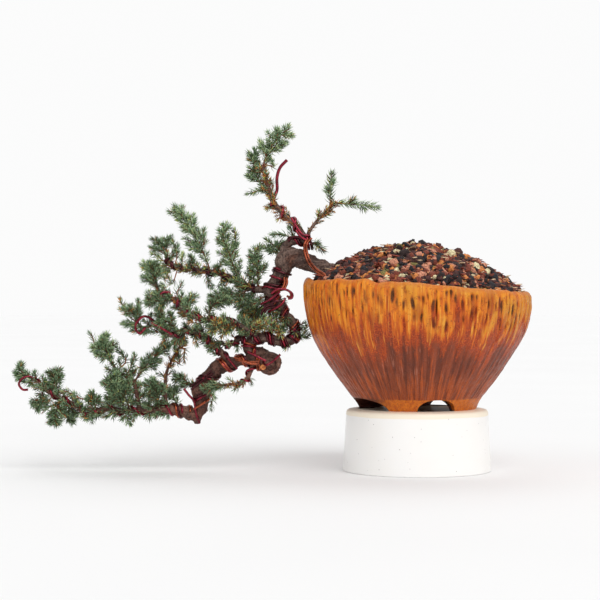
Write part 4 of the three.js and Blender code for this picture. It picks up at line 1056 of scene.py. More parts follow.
def mound_height(places):
    """The height of the lumpy mound over each place, in millimetres."""
    across, back = places[:, 0], places[:, 1]
    radius = np.hypot(across, back)
    wave = 2 * math.pi / LUMP_WAVE
    inside = np.minimum((SOIL_EDGE_RADIUS - radius) / LUMP_MARGIN, 1)
    lumps = np.sin(wave * across + np.sin(wave * back)) * np.cos(wave * back + np.sin(wave * across))
    return MOUND_PEAK_Z - MOUND_FALL * (radius / MOUND_RADIUS) ** 2 + LUMP_RISE * inside * lumps


# Finishes of the grains with their share of the soil, and of the strips of bark
GRAIN_TONES = (
    ("grain_lava", (122, 58, 40), 0.25), ("grain_black", (36, 33, 38), 0.16),
    ("grain_plum", (76, 42, 38), 0.2), ("grain_dark", (42, 24, 22), 0.15),
    ("grain_pumice", (234, 206, 162), 0.035), ("grain_orange", (206, 128, 68), 0.11),
    ("grain_rose", (200, 134, 106), 0.1), ("grain_moss", (122, 110, 58), 0.03),
)
CHIP_TONES = (
    ("bark_chip", (184, 118, 76)), ("bark_chip_dark", (52, 34, 32)),
    ("bark_chip_pale", (226, 184, 146)), ("bark_chip_red", (150, 70, 54)),
)
SOIL_SEED = 77
# Kinds of stone: how many shapes, their fineness and seed
STONES = (7, 2, 31)
PEBBLES = (12, 1, 61)
LARGE_GRAINS = 620
UNDER_GRAINS = 2600
CHIPS = 420
CHIP_LENGTHS = (7, 20)
CHIP_WIDTHS = (3, 6)
CHIP_THICKNESSES = (1.3, 2.8)
SMALL_GRAIN_BIAS = 1.7
EDGE_BIAS = 0.47
SINK = 3.2
BED_SINK = 4
BED_DEPTH = 20


def grain_shapes(count, subdivisions, seed):
    """Angular stones: a few icospheres knocked out of shape, then kept as corners and faces."""
    shapes = []
    for number in range(count):
        clear_selection()
        bpy.ops.mesh.primitive_ico_sphere_add(subdivisions=subdivisions, radius=0.5)
        stone = bpy.context.object
        edit_all(stone)
        bpy.ops.transform.vertex_random(offset=0.13, uniform=0.3, seed=seed + number)
        bpy.ops.transform.resize(value=(1.0, 0.62 + 0.05 * (number % 5), 0.44 + 0.07 * (number % 4)))
        bpy.ops.object.mode_set(mode="OBJECT")
        faces = np.empty(len(stone.data.polygons) * 3, np.int32)
        stone.data.polygons.foreach_get("vertices", faces)
        shapes.append((corners_of(stone), faces.reshape(-1, 3)))
        bpy.data.objects.remove(stone)
    return shapes


def strewn(name, shapes, places, sizes, kinds, rng, stretch=None):
    """Copies of the shapes, turned at random and joined in one mesh."""
    points, faces, tones = [], [], []
    count = 0
    for number, place in enumerate(places):
        shape, triangles = shapes[rng.integers(len(shapes))]
        turn = np.array(Matrix.Rotation(rng.uniform(0, 6.3), 3, Vector(rng.normal(size=3)).normalized()))
        body = shape * sizes[number]
        if stretch is not None:
            pitch = Matrix.Rotation(rng.uniform(-0.4, 0.4), 3, "X")
            slope = pitch @ Matrix.Rotation(rng.uniform(-0.3, 0.3), 3, "Y")
            turn = np.array(Matrix.Rotation(rng.uniform(0, 6.3), 3, "Z") @ slope)
            body = shape * stretch[number]
        points.append(body @ turn.T + place)
        faces.append(triangles + count)
        tones.append(np.full(len(triangles), kinds[number]))
        count += len(shape)
    return mesh_piece(name, np.concatenate(points), np.concatenate(faces), np.concatenate(tones))


class SoilOperator(bpy.types.Operator):
    """Heaps the mound and strews it with lava, pumice and bark"""

    bl_idname = "juniper.soil"
    bl_label = "Soil"

    def execute(self, context):
        settings = context.scene.juniper_soil
        rng = np.random.default_rng(SOIL_SEED)
        finishes = [grain_finish(name, paint(*tone)) for name, tone, _ in GRAIN_TONES]
        chips = [grain_finish(name, paint(*tone), 0.8) for name, tone in CHIP_TONES]
        bed = self.bed()
        shares = np.array([share for _, _, share in GRAIN_TONES])
        stones, pebbles = grain_shapes(*STONES), grain_shapes(*PEBBLES)
        layers = (
            ("grit_large", stones, LARGE_GRAINS, 0.4, 1.12), ("grit_top", pebbles, settings.grains, 0.6, 1),
            ("grit_under", pebbles, UNDER_GRAINS, -1.8, 1.1))
        for name, shapes, count, lift, factor in layers:
            places = self.scatter(rng, count, lift)
            span = settings.largest - settings.smallest
            sizes = (settings.smallest + span * rng.random(count) ** SMALL_GRAIN_BIAS) / MM * factor
            kinds = rng.choice(len(shares), size=count, p=shares / shares.sum())
            hand_over(strewn(name, shapes, places, sizes, kinds, rng), ["soil"], finishes)
        places = self.scatter(rng, CHIPS, 2.0)
        sides = [rng.uniform(*side, CHIPS) for side in (CHIP_LENGTHS, CHIP_WIDTHS, CHIP_THICKNESSES)]
        kinds = rng.integers(0, len(chips), CHIPS)
        bark = strewn("bark_chips", stones, places, sides[0], kinds, rng, np.stack(sides, axis=1))
        hand_over(bark, ["soil"], chips)
        # The bed under the grains takes the darkest grain tone, as painted shade in the gaps between them
        hand_over(bed, ["soil"], [finishes[3]])
        return {"FINISHED"}

    def bed(self):
        """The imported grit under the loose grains."""
        clear_selection()
        bpy.ops.mesh.primitive_circle_add(
            vertices=120, radius=(SOIL_EDGE_RADIUS - 0.4) * MM, fill_type="TRIFAN")
        piece = bpy.context.object
        piece.name = "grit_bed"
        edit_all(piece)
        bpy.ops.mesh.subdivide(number_cuts=9)
        bpy.ops.object.mode_set(mode="OBJECT")
        places = corners_of(piece) / MM
        places[:, 2] = mound_height(places) - BED_SINK
        places[:, 2] += rim_lift(places) + [1.2 * noise.noise(Vector(place) * 0.25) for place in places]
        set_corners(piece, places * MM)
        apply_modifier(piece, "SOLIDIFY", "depth", thickness=BED_DEPTH * MM, offset=-1)
        return piece

    def scatter(self, rng, count, lift):
        """Places all over the mound, each sunk or lifted a little."""
        radius = (SOIL_EDGE_RADIUS - 1.6) * rng.random(count) ** EDGE_BIAS
        turn = rng.uniform(0, 2 * math.pi, count)
        places = np.stack([radius * np.cos(turn), radius * np.sin(turn), np.zeros(count)], axis=1)
        places[:, 2] = mound_height(places)
        places[:, 2] += rim_lift(places) + lift - SINK + rng.uniform(-0.8, 0.8, count)
        return places


# Trunk and boughs

# How far the strips of bark wind round a limb, in radians a millimetre
BARK_TWIST = 0.05
# How closely the trunk's fused skin is built, and how much higher the boughs' bark stands than the trunk's
SKIN_CELL = 0.62
BOUGH_RELIEF = 1.2


def bark_map(piece, names, settings, relief_share=1.0):
    """Reads each corner's place along and round its limb, then lifts the bark by it."""
    samples = []
    for name in names:
        limb = limbs[name]
        walk = limb.walk(0.8)
        path = [limb.point_at(place) for place in walk]
        length = 0
        offset = 40 * len(samples)
        for number, (place, frame_here) in enumerate(zip(walk, path_frames(path))):
            if number:
                length += (path[number] - path[number - 1]).length
            samples.append((path[number], frame_here, length + offset, limb.radius_at(place)))
    tree = kdtree.KDTree(len(samples))
    for number, sample in enumerate(samples):
        tree.insert(sample[0], number)
    tree.balance()
    places = corners_of(piece) / MM
    normals = corners_of(piece, "normal")
    grain = np.zeros((len(places), 3))
    furrow = np.zeros(len(places))
    depth = settings.relief / MM * relief_share
    for number, place in enumerate(places):
        spot = Vector(place)
        centre, (_, across, side), length, radius = samples[tree.find(spot)[1]]
        out = spot - centre
        around = Vector((out.dot(across), out.dot(side), 0))
        around.normalize()
        around = Matrix.Rotation(length * BARK_TWIST, 3, "Z") @ around
        key = Vector((around.x * radius, around.y * radius, length))
        strip = noise.noise(Vector((key.x * 0.75, key.y * 0.75, key.z * 0.13)))
        small = noise.noise(Vector((key.x * 1.9, key.y * 1.9, key.z * 0.4 + 7)))
        lump = noise.noise(Vector((key.x * 0.22, key.y * 0.22, key.z * 0.16 + 3)))
        thick = min(radius / 6, 1.2)
        cut = max(0, 0.12 - abs(strip)) / 0.12
        lift = depth * thick * (0.55 * small + 1.1 * lump - 0.75 * cut)
        places[number] = place + normals[number] * lift
        grain[number] = key * MM
        furrow[number] = 1 - cut
    set_corners(piece, places * MM)
    write_attribute(piece, "grain", "FLOAT_VECTOR", grain)
    write_attribute(piece, "furrow", "FLOAT", furrow)


def limb_run(limb, spacing, start=0.0):
    """Points and radii along a limb, for sweeping it."""
    walk = [place for place in limb.walk(spacing) if place >= start]
    return [limb.point_at(place) for place in walk], [limb.radius_at(place) for place in walk]


class WoodOperator(bpy.types.Operator):
    """Sweeps the trunk and boughs along their routes and raises the bark on them"""

    bl_idname = "juniper.wood"
    bl_label = "Trunk and boughs"

    def execute(self, context):
        settings = context.scene.juniper_wood
        bark = bark_finish(settings)
        trunk = self.trunk()
        bark_map(trunk, ["trunk_upper", "trunk_lower", "trunk_end"], settings)
        bpy.ops.object.shade_smooth()
        hand_over(trunk, TRUNK_NODES, [bark])
        names = [name for name in ROUTES if name.startswith("bough_")]
        boughs = sweep("boughs", [limb_run(limbs[name], 0.7) for name in names], 5)
        weld(boughs, 0.01)
        bark_map(boughs, names, settings, BOUGH_RELIEF)
        bpy.ops.object.shade_smooth()
        hand_over(boughs, LIMB_NODES, [bark])
        self.cut_faces()
        return {"FINISHED"}

    def trunk(self):
        """The trunk, its knot with the callus round it, and the two pruned stubs, fused in one skin."""
        runs = [limb_run(limbs["trunk_upper"], 1.0, 0.4)]
        for limb in (limbs["trunk_lower"], limbs["trunk_end"], Limb(PRUNED_FACE), Limb(PRUNED_STUB)):
            runs.append(limb_run(limb, 1.0))
        piece = sweep("trunk", runs, 7)
        clear_selection()
        bpy.ops.mesh.primitive_uv_sphere_add(
            segments=32, ring_count=20, radius=MM, location=placed(KNOT_CENTRE) * MM)
        knot = bpy.context.object
        knot.scale = KNOT_RADII
        settle(knot)
        clear_selection()
        bpy.ops.mesh.primitive_torus_add(
            major_segments=40, minor_segments=10, location=placed(CALLUS_CENTRE) * MM,
            rotation=CALLUS_LEAN, major_radius=CALLUS_RADIUS * MM, minor_radius=CALLUS_THICK * MM)
        settle(bpy.context.object)
        knot.select_set(True)
        piece.select_set(True)
        bpy.context.view_layer.objects.active = piece
        bpy.ops.object.join()
        apply_modifier(piece, "REMESH", "fuse", mode="VOXEL", voxel_size=SKIN_CELL * MM)
        apply_modifier(piece, "SMOOTH", "soften", factor=0.5, iterations=5)
        return piece

    def cut_faces(self):
        """The two pruned ends show their wood."""
        finish = cut_wood_finish()
        for name, route, lean in (("cut_face", PRUNED_FACE, 1.06), ("cut_stub", PRUNED_STUB, 1.0)):
            limb = Limb(route)
            end = limb.point_at(limb.last)
            along = limb.along_at(limb.last)
            clear_selection()
            bpy.ops.mesh.primitive_cylinder_add(
                vertices=32, radius=limb.radii[-1] * 0.86 * lean * MM, depth=1.6 * MM,
                location=(end + along * 0.1) * MM, rotation=along.to_track_quat("Z", "Y").to_euler())
            face = bpy.context.object
            face.name = name
            settle(face)
            apply_modifier(face, "BEVEL", "worn", width=0.4 * MM, segments=3)
            hand_over(face, [], [finish])


# Wires

# Distance between strands laid side by side, in wire radii
STRAND_GAP = 2.1
LEADER_THICKER = 1.35
COIL_STEPS = 26
WIRE_STEP = 0.8
WIRE_METALS = {"red": (140, 30, 50), "maroon": (80, 24, 32), "copper": (164, 78, 46)}


def wound(limb, start, end, turns, phase, radius, beside=0):
    """A coil that lies on its limb, or one laid along the side of another."""
    steps = round(turns * COIL_STEPS)
    places = [start + (end - start) * number / steps for number in range(steps + 1)]
    walk = [limb.point_at(place) for place in places]
    length = sum((after - before).length for before, after in zip(walk, walk[1:]))
    shift = STRAND_GAP * radius * beside / length
    points = []
    for number, (_, across, side) in enumerate(path_frames(walk)):
        angle = math.radians(phase) + 2 * math.pi * turns * (number / steps + shift)
        offset = limb.radius_at(places[number]) + radius * 0.8
        offset += 0.25 * noise.noise(Vector((number * 0.11, phase, 0)))
        points.append(walk[number] + across * offset * math.cos(angle) + side * offset * math.sin(angle))
    return points


class WireOperator(bpy.types.Operator):
    """Winds the training wires round the limbs and bends their free ends"""

    bl_idname = "juniper.wires"
    bl_label = "Training wires"

    def execute(self, context):
        radius = context.scene.juniper_wood.wire_radius / MM
        finishes = [wire_finish(f"wire_{name}", paint(*tone)) for name, tone in WIRE_METALS.items()]
        order = list(WIRE_METALS)
        runs, metals = [], []
        for name, (limb, start, end, turns, phase, strands) in COILS.items():
            thick = radius * (LEADER_THICKER if name == "leader" else 1)
            for beside, metal in enumerate(strands):
                points = wound(limbs[limb], start, end, turns, phase, thick, beside)
                if name in WIRE_ENDS and not beside:
                    points += smooth_path([points[-1], *map(placed, WIRE_ENDS[name])], WIRE_STEP)[1:]
                runs.append((points, [thick] * len(points)))
                metals.append(order.index(metal))
        for metal, route in LOOSE_WIRES:
            points = smooth_path([placed(point) for point in route], WIRE_STEP)
            runs.append((points, [radius] * len(points)))
            metals.append(order.index(metal))
        piece = sweep("training_wires", runs, 3, finishes, metals)
        weld(piece, 0.002)
        bpy.ops.object.shade_smooth_by_angle(angle=math.radians(60))
        hand_over(piece, WIRE_NODES)
        return {"FINISHED"}


# Foliage

TONES = (
    ("needle_shade", (52, 56, 34)), ("needle_dark", (72, 90, 56)), ("needle_blue", (94, 122, 88)),
    ("needle_grey", (124, 150, 112)), ("needle_light", (166, 186, 132)), ("needle_lime", (188, 196, 104)),
    ("needle_gold", (200, 138, 64)), ("needle_dry", (126, 74, 44)),
)
# The tone of a needle's tip, for each tone of its foot
TIP_TONES = np.array([1, 3, 3, 4, 4, 5, 6, 7])
TINTS = {
    "mixed": (0.2, 0.3, 0.27, 0.12, 0.07, 0.01, 0.01, 0.02),
    "deep": (0.32, 0.35, 0.2, 0.06, 0.03, 0.0, 0.01, 0.03),
    "fresh": (0.1, 0.18, 0.27, 0.24, 0.18, 0.02, 0.0, 0.01),
    "lime": (0.05, 0.1, 0.16, 0.16, 0.27, 0.24, 0.01, 0.01),
    "golden": (0.2, 0.2, 0.12, 0.05, 0.08, 0.1, 0.14, 0.11),
    "dry": (0.08, 0.08, 0.03, 0.0, 0.0, 0.03, 0.28, 0.5),
}
TWIG_TONES = (("twig_brown", (100, 56, 42)), ("twig_red", (150, 82, 50)), ("twig_green", (128, 104, 56)))
# How much shade adds to each tone's share, and the share of a spray's needles that keep its main tone
SHADE_WEIGHTS = np.array([3, 1, 0, -1, -1, -1, 0, 0])
MAIN_TONE_SHARE = 0.62

# Turns and angles of the needles in a whorl, and of the side twigs round a shoot
WHORL_THIRD = 2.094
WHORL_TWIST = 1.05
TWIG_TURN = 2.4
TWIG_LEAN = 44
# The faces of a needle: two rings of three corners and a tip
NEEDLE_FACES = np.array([[0, 1, 4], [0, 4, 3], [1, 2, 5], [1, 5, 4], [2, 0, 3], [2, 3, 5],
                         [3, 4, 6], [4, 5, 6], [5, 3, 6]])

# Finer shoots set between those of the model's rule
FINE_SHOOT_STEP = 4.6
FINE_REACH = 0.85
FINE_SEED = 500
FOLIAGE_SEED = 900

# The masses in each group of needles
NEEDLE_GROUPS = {
    "needles_crown": ("crown_tip", "crown_left", "side_up", "side_right", "side_low", "knuckle_fan",
                      "shoulder", "second_rise", "second_tall"),
    "needles_second": ("second_tip", "second_light", "second_inner", "second_front", "drop_fringe",
                       "third_curl", "third_root", "third_mid"),
    "needles_middle": ("third_tip", "third_under", "fourth_mid", "fourth_fall", "fourth_tip",
                       "under_spray", "reach_feather", "tail_inner", "low_rise"),
    "needles_tail": ("low_tip", "tail_broad", "tail_left", "tail_root", "tail_mid", "tail_brush",
                     "tail_hang", "tail_fall", "tip_hang", "tail_tip"),
}
# How full the side twigs of each group are, and the masses with needles straight on their stem
FULLNESS = {"needles_crown": 0.84, "needles_second": 1.0, "needles_middle": 1.0, "needles_tail": 1.16}
FEATHERED = ("side_up", "side_right", "side_low")
# Short leafy shoots straight on the limbs: limb, from, to, spacing, length, tint
FRINGES = {
    "needles_crown": (
        ("bough_leader", 3.2, 7.0, 4.6, 7, "golden"), ("bough_side", 1.6, 4.0, 5.5, 4.5, "golden")),
    "needles_second": (
        ("bough_second", 0.6, 8.0, 3.4, 6.5, "golden"), ("bough_third", 0.8, 9.0, 3.0, 8.5, "mixed"),
        ("trunk_upper", 9.0, 15.0, 5.5, 6, "golden")),
    "needles_middle": (
        ("bough_fourth", 1.0, 9.0, 3.0, 8.5, "mixed"), ("bough_link", 0.6, 5.0, 5.0, 4.5, "dry"),
        ("bough_under", 1.2, 4.0, 4.5, 6, "mixed"), ("bough_stub", 1.5, 4.0, 5.0, 7, "mixed")),
    "needles_tail": (
        ("trunk_end", 2.6, 13.0, 2.4, 8.5, "mixed"), ("bough_low", 0.3, 5.0, 3.0, 8.5, "mixed")),
}
# Limbs that keep dry needles: limb, from, to, size
DRY_LIMBS = {
    "needles_crown": (("bough_side", 0.8, 4.0, 1.25), ("bough_leader", 0.8, 7.0, 1.35)),
    "needles_second": (("bough_second", 2.4, 7.0, 0.62), ("bough_third", 2.0, 8.0, 0.62)),
    "needles_middle": (
        ("bough_link", 2.6, 5.0, 0.95), ("bough_fourth", 1.2, 4.4, 0.7), ("bough_under", 2.0, 4.0, 0.8)),
    "needles_tail": (),
}
# Where the groups part in the front view: the foot of the crown, of the second bough, and the tail's start
CROWN_FOOT = 200
SECOND_FOOT = 140
TAIL_START = -230
# How much a sprig's depth counts, beside its place in the front view, when it takes its stem from the wood
DEPTH_WEIGHT = 0.15


def sprig_group(across, up):
    """The group of needles that a sprig joins."""
    if up > CROWN_FOOT:
        return "needles_crown"
    if up > SECOND_FOOT:
        return "needles_second"
    return "needles_middle" if across > TAIL_START else "needles_tail"


def unit(rows):
    return rows / np.maximum(np.linalg.norm(rows, axis=1), 1e-6)[:, None]


def leaning(along, out, angle):
    """A direction that leans from one way towards another."""
    return along * math.cos(angle) + out * math.sin(angle)


def headed(heading, away):
    """The direction of a heading in the front view, tipped away from it."""
    turn, tip = math.radians(heading), math.radians(away)
    return Vector((math.cos(turn) * math.cos(tip), math.sin(tip), math.sin(turn) * math.cos(tip)))


def front(spot):
    """Where the front view shows a point."""
    scale = EYE_DISTANCE / (EYE_DISTANCE + spot.y)
    return Vector(((spot.x - EYE_ACROSS) * scale, (spot.z - EYE_UP) * scale))


def mass_root(limb, place, way):
    """Just clear of the limb's surface, and the middle of the limb behind it."""
    centre = limb.point_at(place)
    if place >= limb.last:
        return centre, centre + way * 0.5
    path = [limb.point_at(place + 0.05 * step) for step in range(-30, 31)]
    lean = abs(limb.along_at(place).dot(way))
    root = centre.copy()
    while min((root - point).length for point in path) - 1.4 * lean < limb.radius_at(place):
        root += way * 0.1
    return centre, root + way * 0.3


def growth(heading0, away, length0, bend, shoots, reach, spread0, root, roll):
    """The growth rule: a bending stem, and shoots to every side of it in turn."""
    steps = max(STEM_STEPS_AT_LEAST, math.floor(length0 / SPRAY_STEP + 0.5))
    stem = [root]
    for number in range(steps):
        heading = heading0 + bend * (number + 0.5) / steps
        stem.append(stem[-1] + headed(heading, away) * (length0 / steps))
    paths = []
    for number in range(shoots):
        t = FIRST_SHOOT + SHOOT_SPAN * (number + 0.5 * roll()) / shoots
        low = min(int(t * steps), steps - 1)
        start = stem[low].lerp(stem[low + 1], t * steps - low)
        heading = heading0 + bend * t
        along = headed(heading, away)
        left = Vector((-math.sin(math.radians(heading)), 0, math.cos(math.radians(heading))))
        back = left.cross(along)
        turn = math.radians(SHOOT_TURNS[number % len(SHOOT_TURNS)] + SHOOT_TURN_SPREAD * (roll() - 0.5))
        side = leaning(left, back, turn)
        spread = spread0 * (1 + SHOOT_VARIETY * (roll() - 0.5))
        length = reach * (SHOOT_LONGEST - SHOOT_FADE * t) * (1 + SHOOT_VARIETY * (roll() - 0.5))
        bits = max(2, math.floor(length / SPRAY_STEP + 0.5))
        path = [start]
        for bit in range(bits):
            way = leaning(along, side, math.radians(spread * (1 - SHOOT_CLOSING * bit / bits)))
            path.append(path[-1] + way * (length / bits))
        paths.append(path)
    return stem, paths


class Sprays:
    """Needles and twigs gathered along paths until a mesh is made of them."""

    def __init__(self, settings, seed, fullness):
        self.settings = settings
        self.fullness = fullness
        self.rng = np.random.default_rng(seed)
        self.needles = []
        self.twigs = []

    def brush(self, path, tint, begin=0.0, size=1.0, shade=0.0):
        """Whorls of three needles along a path, closing in towards its tip."""
        rng, settings = self.rng, self.settings
        places = np.array([tuple(point) for point in path])
        steps = np.linalg.norm(np.diff(places, axis=0), axis=1)
        run = np.concatenate([[0], np.cumsum(steps)])
        step = settings.whorl_step / MM
        stations = np.arange(begin * run[-1] + 0.3, run[-1] + 0.6, step)
        if not len(stations):
            return
        spots, ahead, behind = (
            np.stack([np.interp(stations + shift, run, places[:, axis]) for axis in range(3)], axis=1)
            for shift in (0, 0.6, -0.6))
        along = unit(ahead - behind)
        across = unit(np.cross(along, np.array([0.31, 0.87, 0.38])))
        side = np.cross(along, across)
        count = len(stations)
        left = np.clip((run[-1] + 0.6 - stations) / 4.5, 0, 1)
        for third in range(3):
            turn = np.arange(count) * WHORL_TWIST + third * WHORL_THIRD + rng.normal(0, 0.25, count)
            out = across * np.cos(turn)[:, None] + side * np.sin(turn)[:, None]
            lean = settings.needle_lean * (0.42 + 0.58 * left) * rng.uniform(0.75, 1.25, count)
            way = along * np.cos(lean)[:, None] + out * np.sin(lean)[:, None]
            length = settings.needle_length / MM * size * (0.62 + 0.38 * left) * rng.uniform(0.8, 1.15, count)
            tones = self.tones(tint, count, shade)
            self.needles.append((spots, way, along, length, tones))

    def tones(self, tint, count, shade):
        """One base colour for the whole spray, with a few strays among its needles."""
        shares = np.array(TINTS[tint]) * (1 + shade * SHADE_WEIGHTS)
        shares = shares / shares.sum()
        main = self.rng.choice(len(TONES), p=shares)
        strays = self.rng.choice(len(TONES), size=count, p=shares)
        return np.where(self.rng.random(count) < MAIN_TONE_SHARE, main, strays)

    def twig(self, path, thick, thin, tone):
        self.twigs.append((path, np.linspace(thick, thin, len(path)), tone))

    def side_twigs(self, path, tint, begin, longest):
        """Short needled twigs on a shoot, each side in turn and shorter towards its tip."""
        rng = self.rng
        curve = Curve(path)
        walk = curve.walk(0.5)
        lengths = [0]
        for first, second in zip(walk, walk[1:]):
            lengths.append(lengths[-1] + (curve.point_at(first) - curve.point_at(second)).length)
        total = lengths[-1]
        at = begin * total + rng.uniform(0, 1.5)
        number = rng.integers(0, 4)
        while at < total - 1.2:
            place = float(np.interp(at, lengths, walk))
            start, along = curve.point_at(place), curve.along_at(place)
            across = along.cross(Vector((0.2, 0.9, 0.3))).normalized()
            out = Matrix.Rotation(number * TWIG_TURN + rng.uniform(-0.4, 0.4), 3, along) @ across
            share = at / total
            length = longest * self.fullness * (1.1 - 0.75 * share) * rng.uniform(0.7, 1.15)
            way = leaning(along, out, math.radians(TWIG_LEAN * rng.uniform(0.8, 1.2)))
            middle = start + way * length * 0.5
            tip = middle + (way + along * 0.35).normalized() * length * 0.5
            twig = smooth_path([start, middle, tip], 1.2)
            self.twig(twig, 0.34, 0.22, 2 if share > 0.4 else 1)
            self.brush(twig, tint, 0.12, 0.92, shade=0.5 * (1 - share))
            at += self.settings.twig_step / MM / self.fullness * rng.uniform(0.7, 1.4)
            number += 1

    def needle_mesh(self, name):
        """Three-sided needles that swell, bend in and come to a point."""
        spots, ways, alongs, lengths, tones = (np.concatenate(parts) for parts in zip(*self.needles))
        count = len(spots)
        width = self.settings.needle_width / MM * self.rng.uniform(0.8, 1.15, count)
        flat = unit(np.cross(ways, alongs))
        back = np.cross(flat, ways)
        rings = []
        for share, size, bow in ((0.0, 0.42, 0.0), (0.5, 0.5, 0.05)):
            centre = spots + ways * (lengths * share)[:, None] - back * (lengths * bow)[:, None]
            for angle, tall in ((0.0, 0.55), (2.1, 1.0), (4.2, 1.0)):
                offset = back * math.cos(angle) * tall + flat * math.sin(angle)
                rings.append(centre + offset * (width * size)[:, None])
        rings.append(spots + ways * lengths[:, None] + alongs * (lengths * 0.1)[:, None])
        points = np.stack(rings, axis=1).reshape(-1, 3)
        triangles = (NEEDLE_FACES[None] + (np.arange(count) * 7)[:, None, None]).reshape(-1, 3)
        kinds = np.repeat(tones[:, None], len(NEEDLE_FACES), axis=1)
        kinds[:, -3:] = TIP_TONES[tones][:, None]
        return mesh_piece(name, points, triangles, kinds.ravel())


class FoliageOperator(bpy.types.Operator):
    """Grows every mass by the model's rule, carries it to finer twigs and sets the needles"""

    bl_idname = "juniper.foliage"
    bl_label = "Foliage"

    def execute(self, context):
        settings = context.scene.juniper_foliage
        order = list(MASSES)
        finishes = [leaf_finish(name, paint(*tone)) for name, tone in TONES]
        bark = [leaf_finish(name, paint(*tone), 0.75) for name, tone in TWIG_TONES]
        twigs = []
        self.wood = [limb.point_at(place) for limb in limbs.values() for place in limb.walk(1.5)]
        for number, (group, names) in enumerate(NEEDLE_GROUPS.items()):
            sprays = Sprays(settings, FOLIAGE_SEED + number, FULLNESS[group])
            for name in names:
                self.mass(sprays, name, FIRST_SEED + order.index(name))
            self.sprigs(sprays, [sprig for sprig in SPRIGS if sprig_group(*sprig[:2]) == group])
            self.dry_needles(sprays, DRY_LIMBS[group])
            for row in FRINGES[group]:
                self.fringe(sprays, *row)
            hand_over(sprays.needle_mesh(group), [f"mass_{name}" for name in names], finishes)
            twigs.extend(sprays.twigs)
        runs = [(path, radii) for path, radii, _ in twigs]
        piece = sweep("twigs", runs, 0, bark, [tone for *_, tone in twigs])
        hand_over(piece, [f"mass_{name}" for name in order])
        return {"FINISHED"}

    def mass(self, sprays, name, seed):
        """One mass: the model's stem and shoots, finer shoots between them, and their twigs and needles."""
        limb_name, place, heading, away, length, bend, shoots, reach, spread, tint = MASSES[name]
        limb = limbs[limb_name]
        centre, root = mass_root(limb, place, headed(heading, away))
        stem, paths = growth(heading, away, length, bend, shoots, reach, spread, root, dice(seed))
        stem_path = smooth_path([centre, *stem])
        self.wood += stem_path
        sprays.twig(stem_path, 1.0, 0.5, 0)
        if name in FEATHERED:
            for path in (stem_path, *(smooth_path(path) for path in paths)):
                sprays.twig(path, 0.55, 0.3, 1)
                sprays.brush(path, tint, 0.1, 1.2, 0.15)
                sprays.brush(path, tint, 0.2, 1.05, 0.15)
            return
        sprays.brush(stem_path, tint, 0.1, 1.0, 0.3)
        sprays.side_twigs(stem_path, tint, 0.12, 6.5)
        finer = round(length / FINE_SHOOT_STEP)
        fine_paths = growth(heading, away, length, bend, finer, reach * FINE_REACH, spread, root,
                            dice(seed + FINE_SEED))[1]
        for path in paths + fine_paths:
            shoot = smooth_path(path)
            self.wood += shoot
            sprays.twig(shoot, 0.55, 0.3, 1)
            sprays.brush(shoot, tint, 0.08, 1.0, 0.15)
            sprays.side_twigs(shoot, tint, 0.16, 5.4)

    def sprigs(self, sprays, rows):
        """Small shoots, each on a thin stem from the wood that the front view shows nearest to it."""
        for across, up, away, heading, tip_away, length, tint in rows:
            start = placed((across, up, away))
            holder = min(self.wood, key=lambda spot: (front(spot) - front(start)).length
                         + DEPTH_WEIGHT * abs(spot.y - start.y))
            start = placed((across, up, holder.y))
            middle = start + headed(heading, tip_away) * length * 0.5
            end = middle + headed(heading + 12, tip_away) * length * 0.5
            stem = (start - holder).length
            path = smooth_path([holder, start, middle, end] if stem > 1 else [start, middle, end])
            leafy_from = 0.2 if stem < 3 else 0.7 * stem / (stem + length)
            sprays.twig(path, 0.6, 0.3, 1)
            sprays.brush(path, tint, leafy_from, 0.95)
            if length > 10:
                sprays.side_twigs(path, tint, leafy_from + 0.12, 4.0)

    def fringe(self, sprays, limb_name, start, end, spacing, longest, tint):
        """Short shoots all round a limb, leaning towards its tip."""
        limb, rng = limbs[limb_name], sprays.rng
        places = [place for place in limb.walk(spacing) if start <= place <= end]
        for number, place in enumerate(places):
            along = limb.along_at(place)
            across = along.cross(Vector((0.1, 0.95, 0.2))).normalized()
            out = Matrix.Rotation(number * TWIG_TURN + rng.uniform(-0.5, 0.5), 3, along) @ across
            base = limb.point_at(place)
            length = longest * rng.uniform(0.6, 1.15) + limb.radius_at(place)
            way = leaning(along, out, math.radians(rng.uniform(38, 62))).normalized()
            middle = base + way * length * 0.55
            path = smooth_path([base, middle, middle + (way + along * 0.4).normalized() * length * 0.45])
            sprays.twig(path, 0.5, 0.28, 1)
            sprays.brush(path, tint, limb.radius_at(place) / length * 0.8, 1.0, 0.15)
            if longest > 6:
                sprays.side_twigs(path, tint, 0.4, 4.2)

    def dry_needles(self, sprays, limb_rows):
        """Old scale leaves and dry needles that stay on the boughs."""
        rng = sprays.rng
        for name, start, end, size in limb_rows:
            limb = limbs[name]
            steps = round((end - start) * 20)
            for number in range(steps):
                place = start + (end - start) * (number + rng.random()) / steps
                along = limb.along_at(place)
                out = Matrix.Rotation(rng.uniform(0, 6.3), 3, along) @ along.orthogonal().normalized()
                spot = limb.point_at(place) + out * limb.radius_at(place) * 0.8
                way = (along * rng.uniform(0.4, 1.4) + out * 0.8).normalized()
                length = rng.uniform(2.2, 4.4) * size
                path = [spot, spot + way * length * 0.5, spot + way * length]
                if rng.random() < 0.35:
                    sprays.brush(path, "dry", 0.0, 0.6)
                else:
                    rows = [np.array([row]) for row in (spot, way, along, length)]
                    sprays.needles.append((*rows, sprays.tones("dry", 1, 0)))


# Stage

# Soft suns: name, the side they shine from, how wide they look in degrees, and their strength
SUNS = (
    ("key", (0.5, -1.0, 1.1), 50, 1.5), ("fill", (-1.2, -0.9, 0.5), 70, 0.3),
    ("top", (0.2, 0.7, 1.6), 60, 0.8),
)
LENS = 100
SENSOR_WIDTH = 36


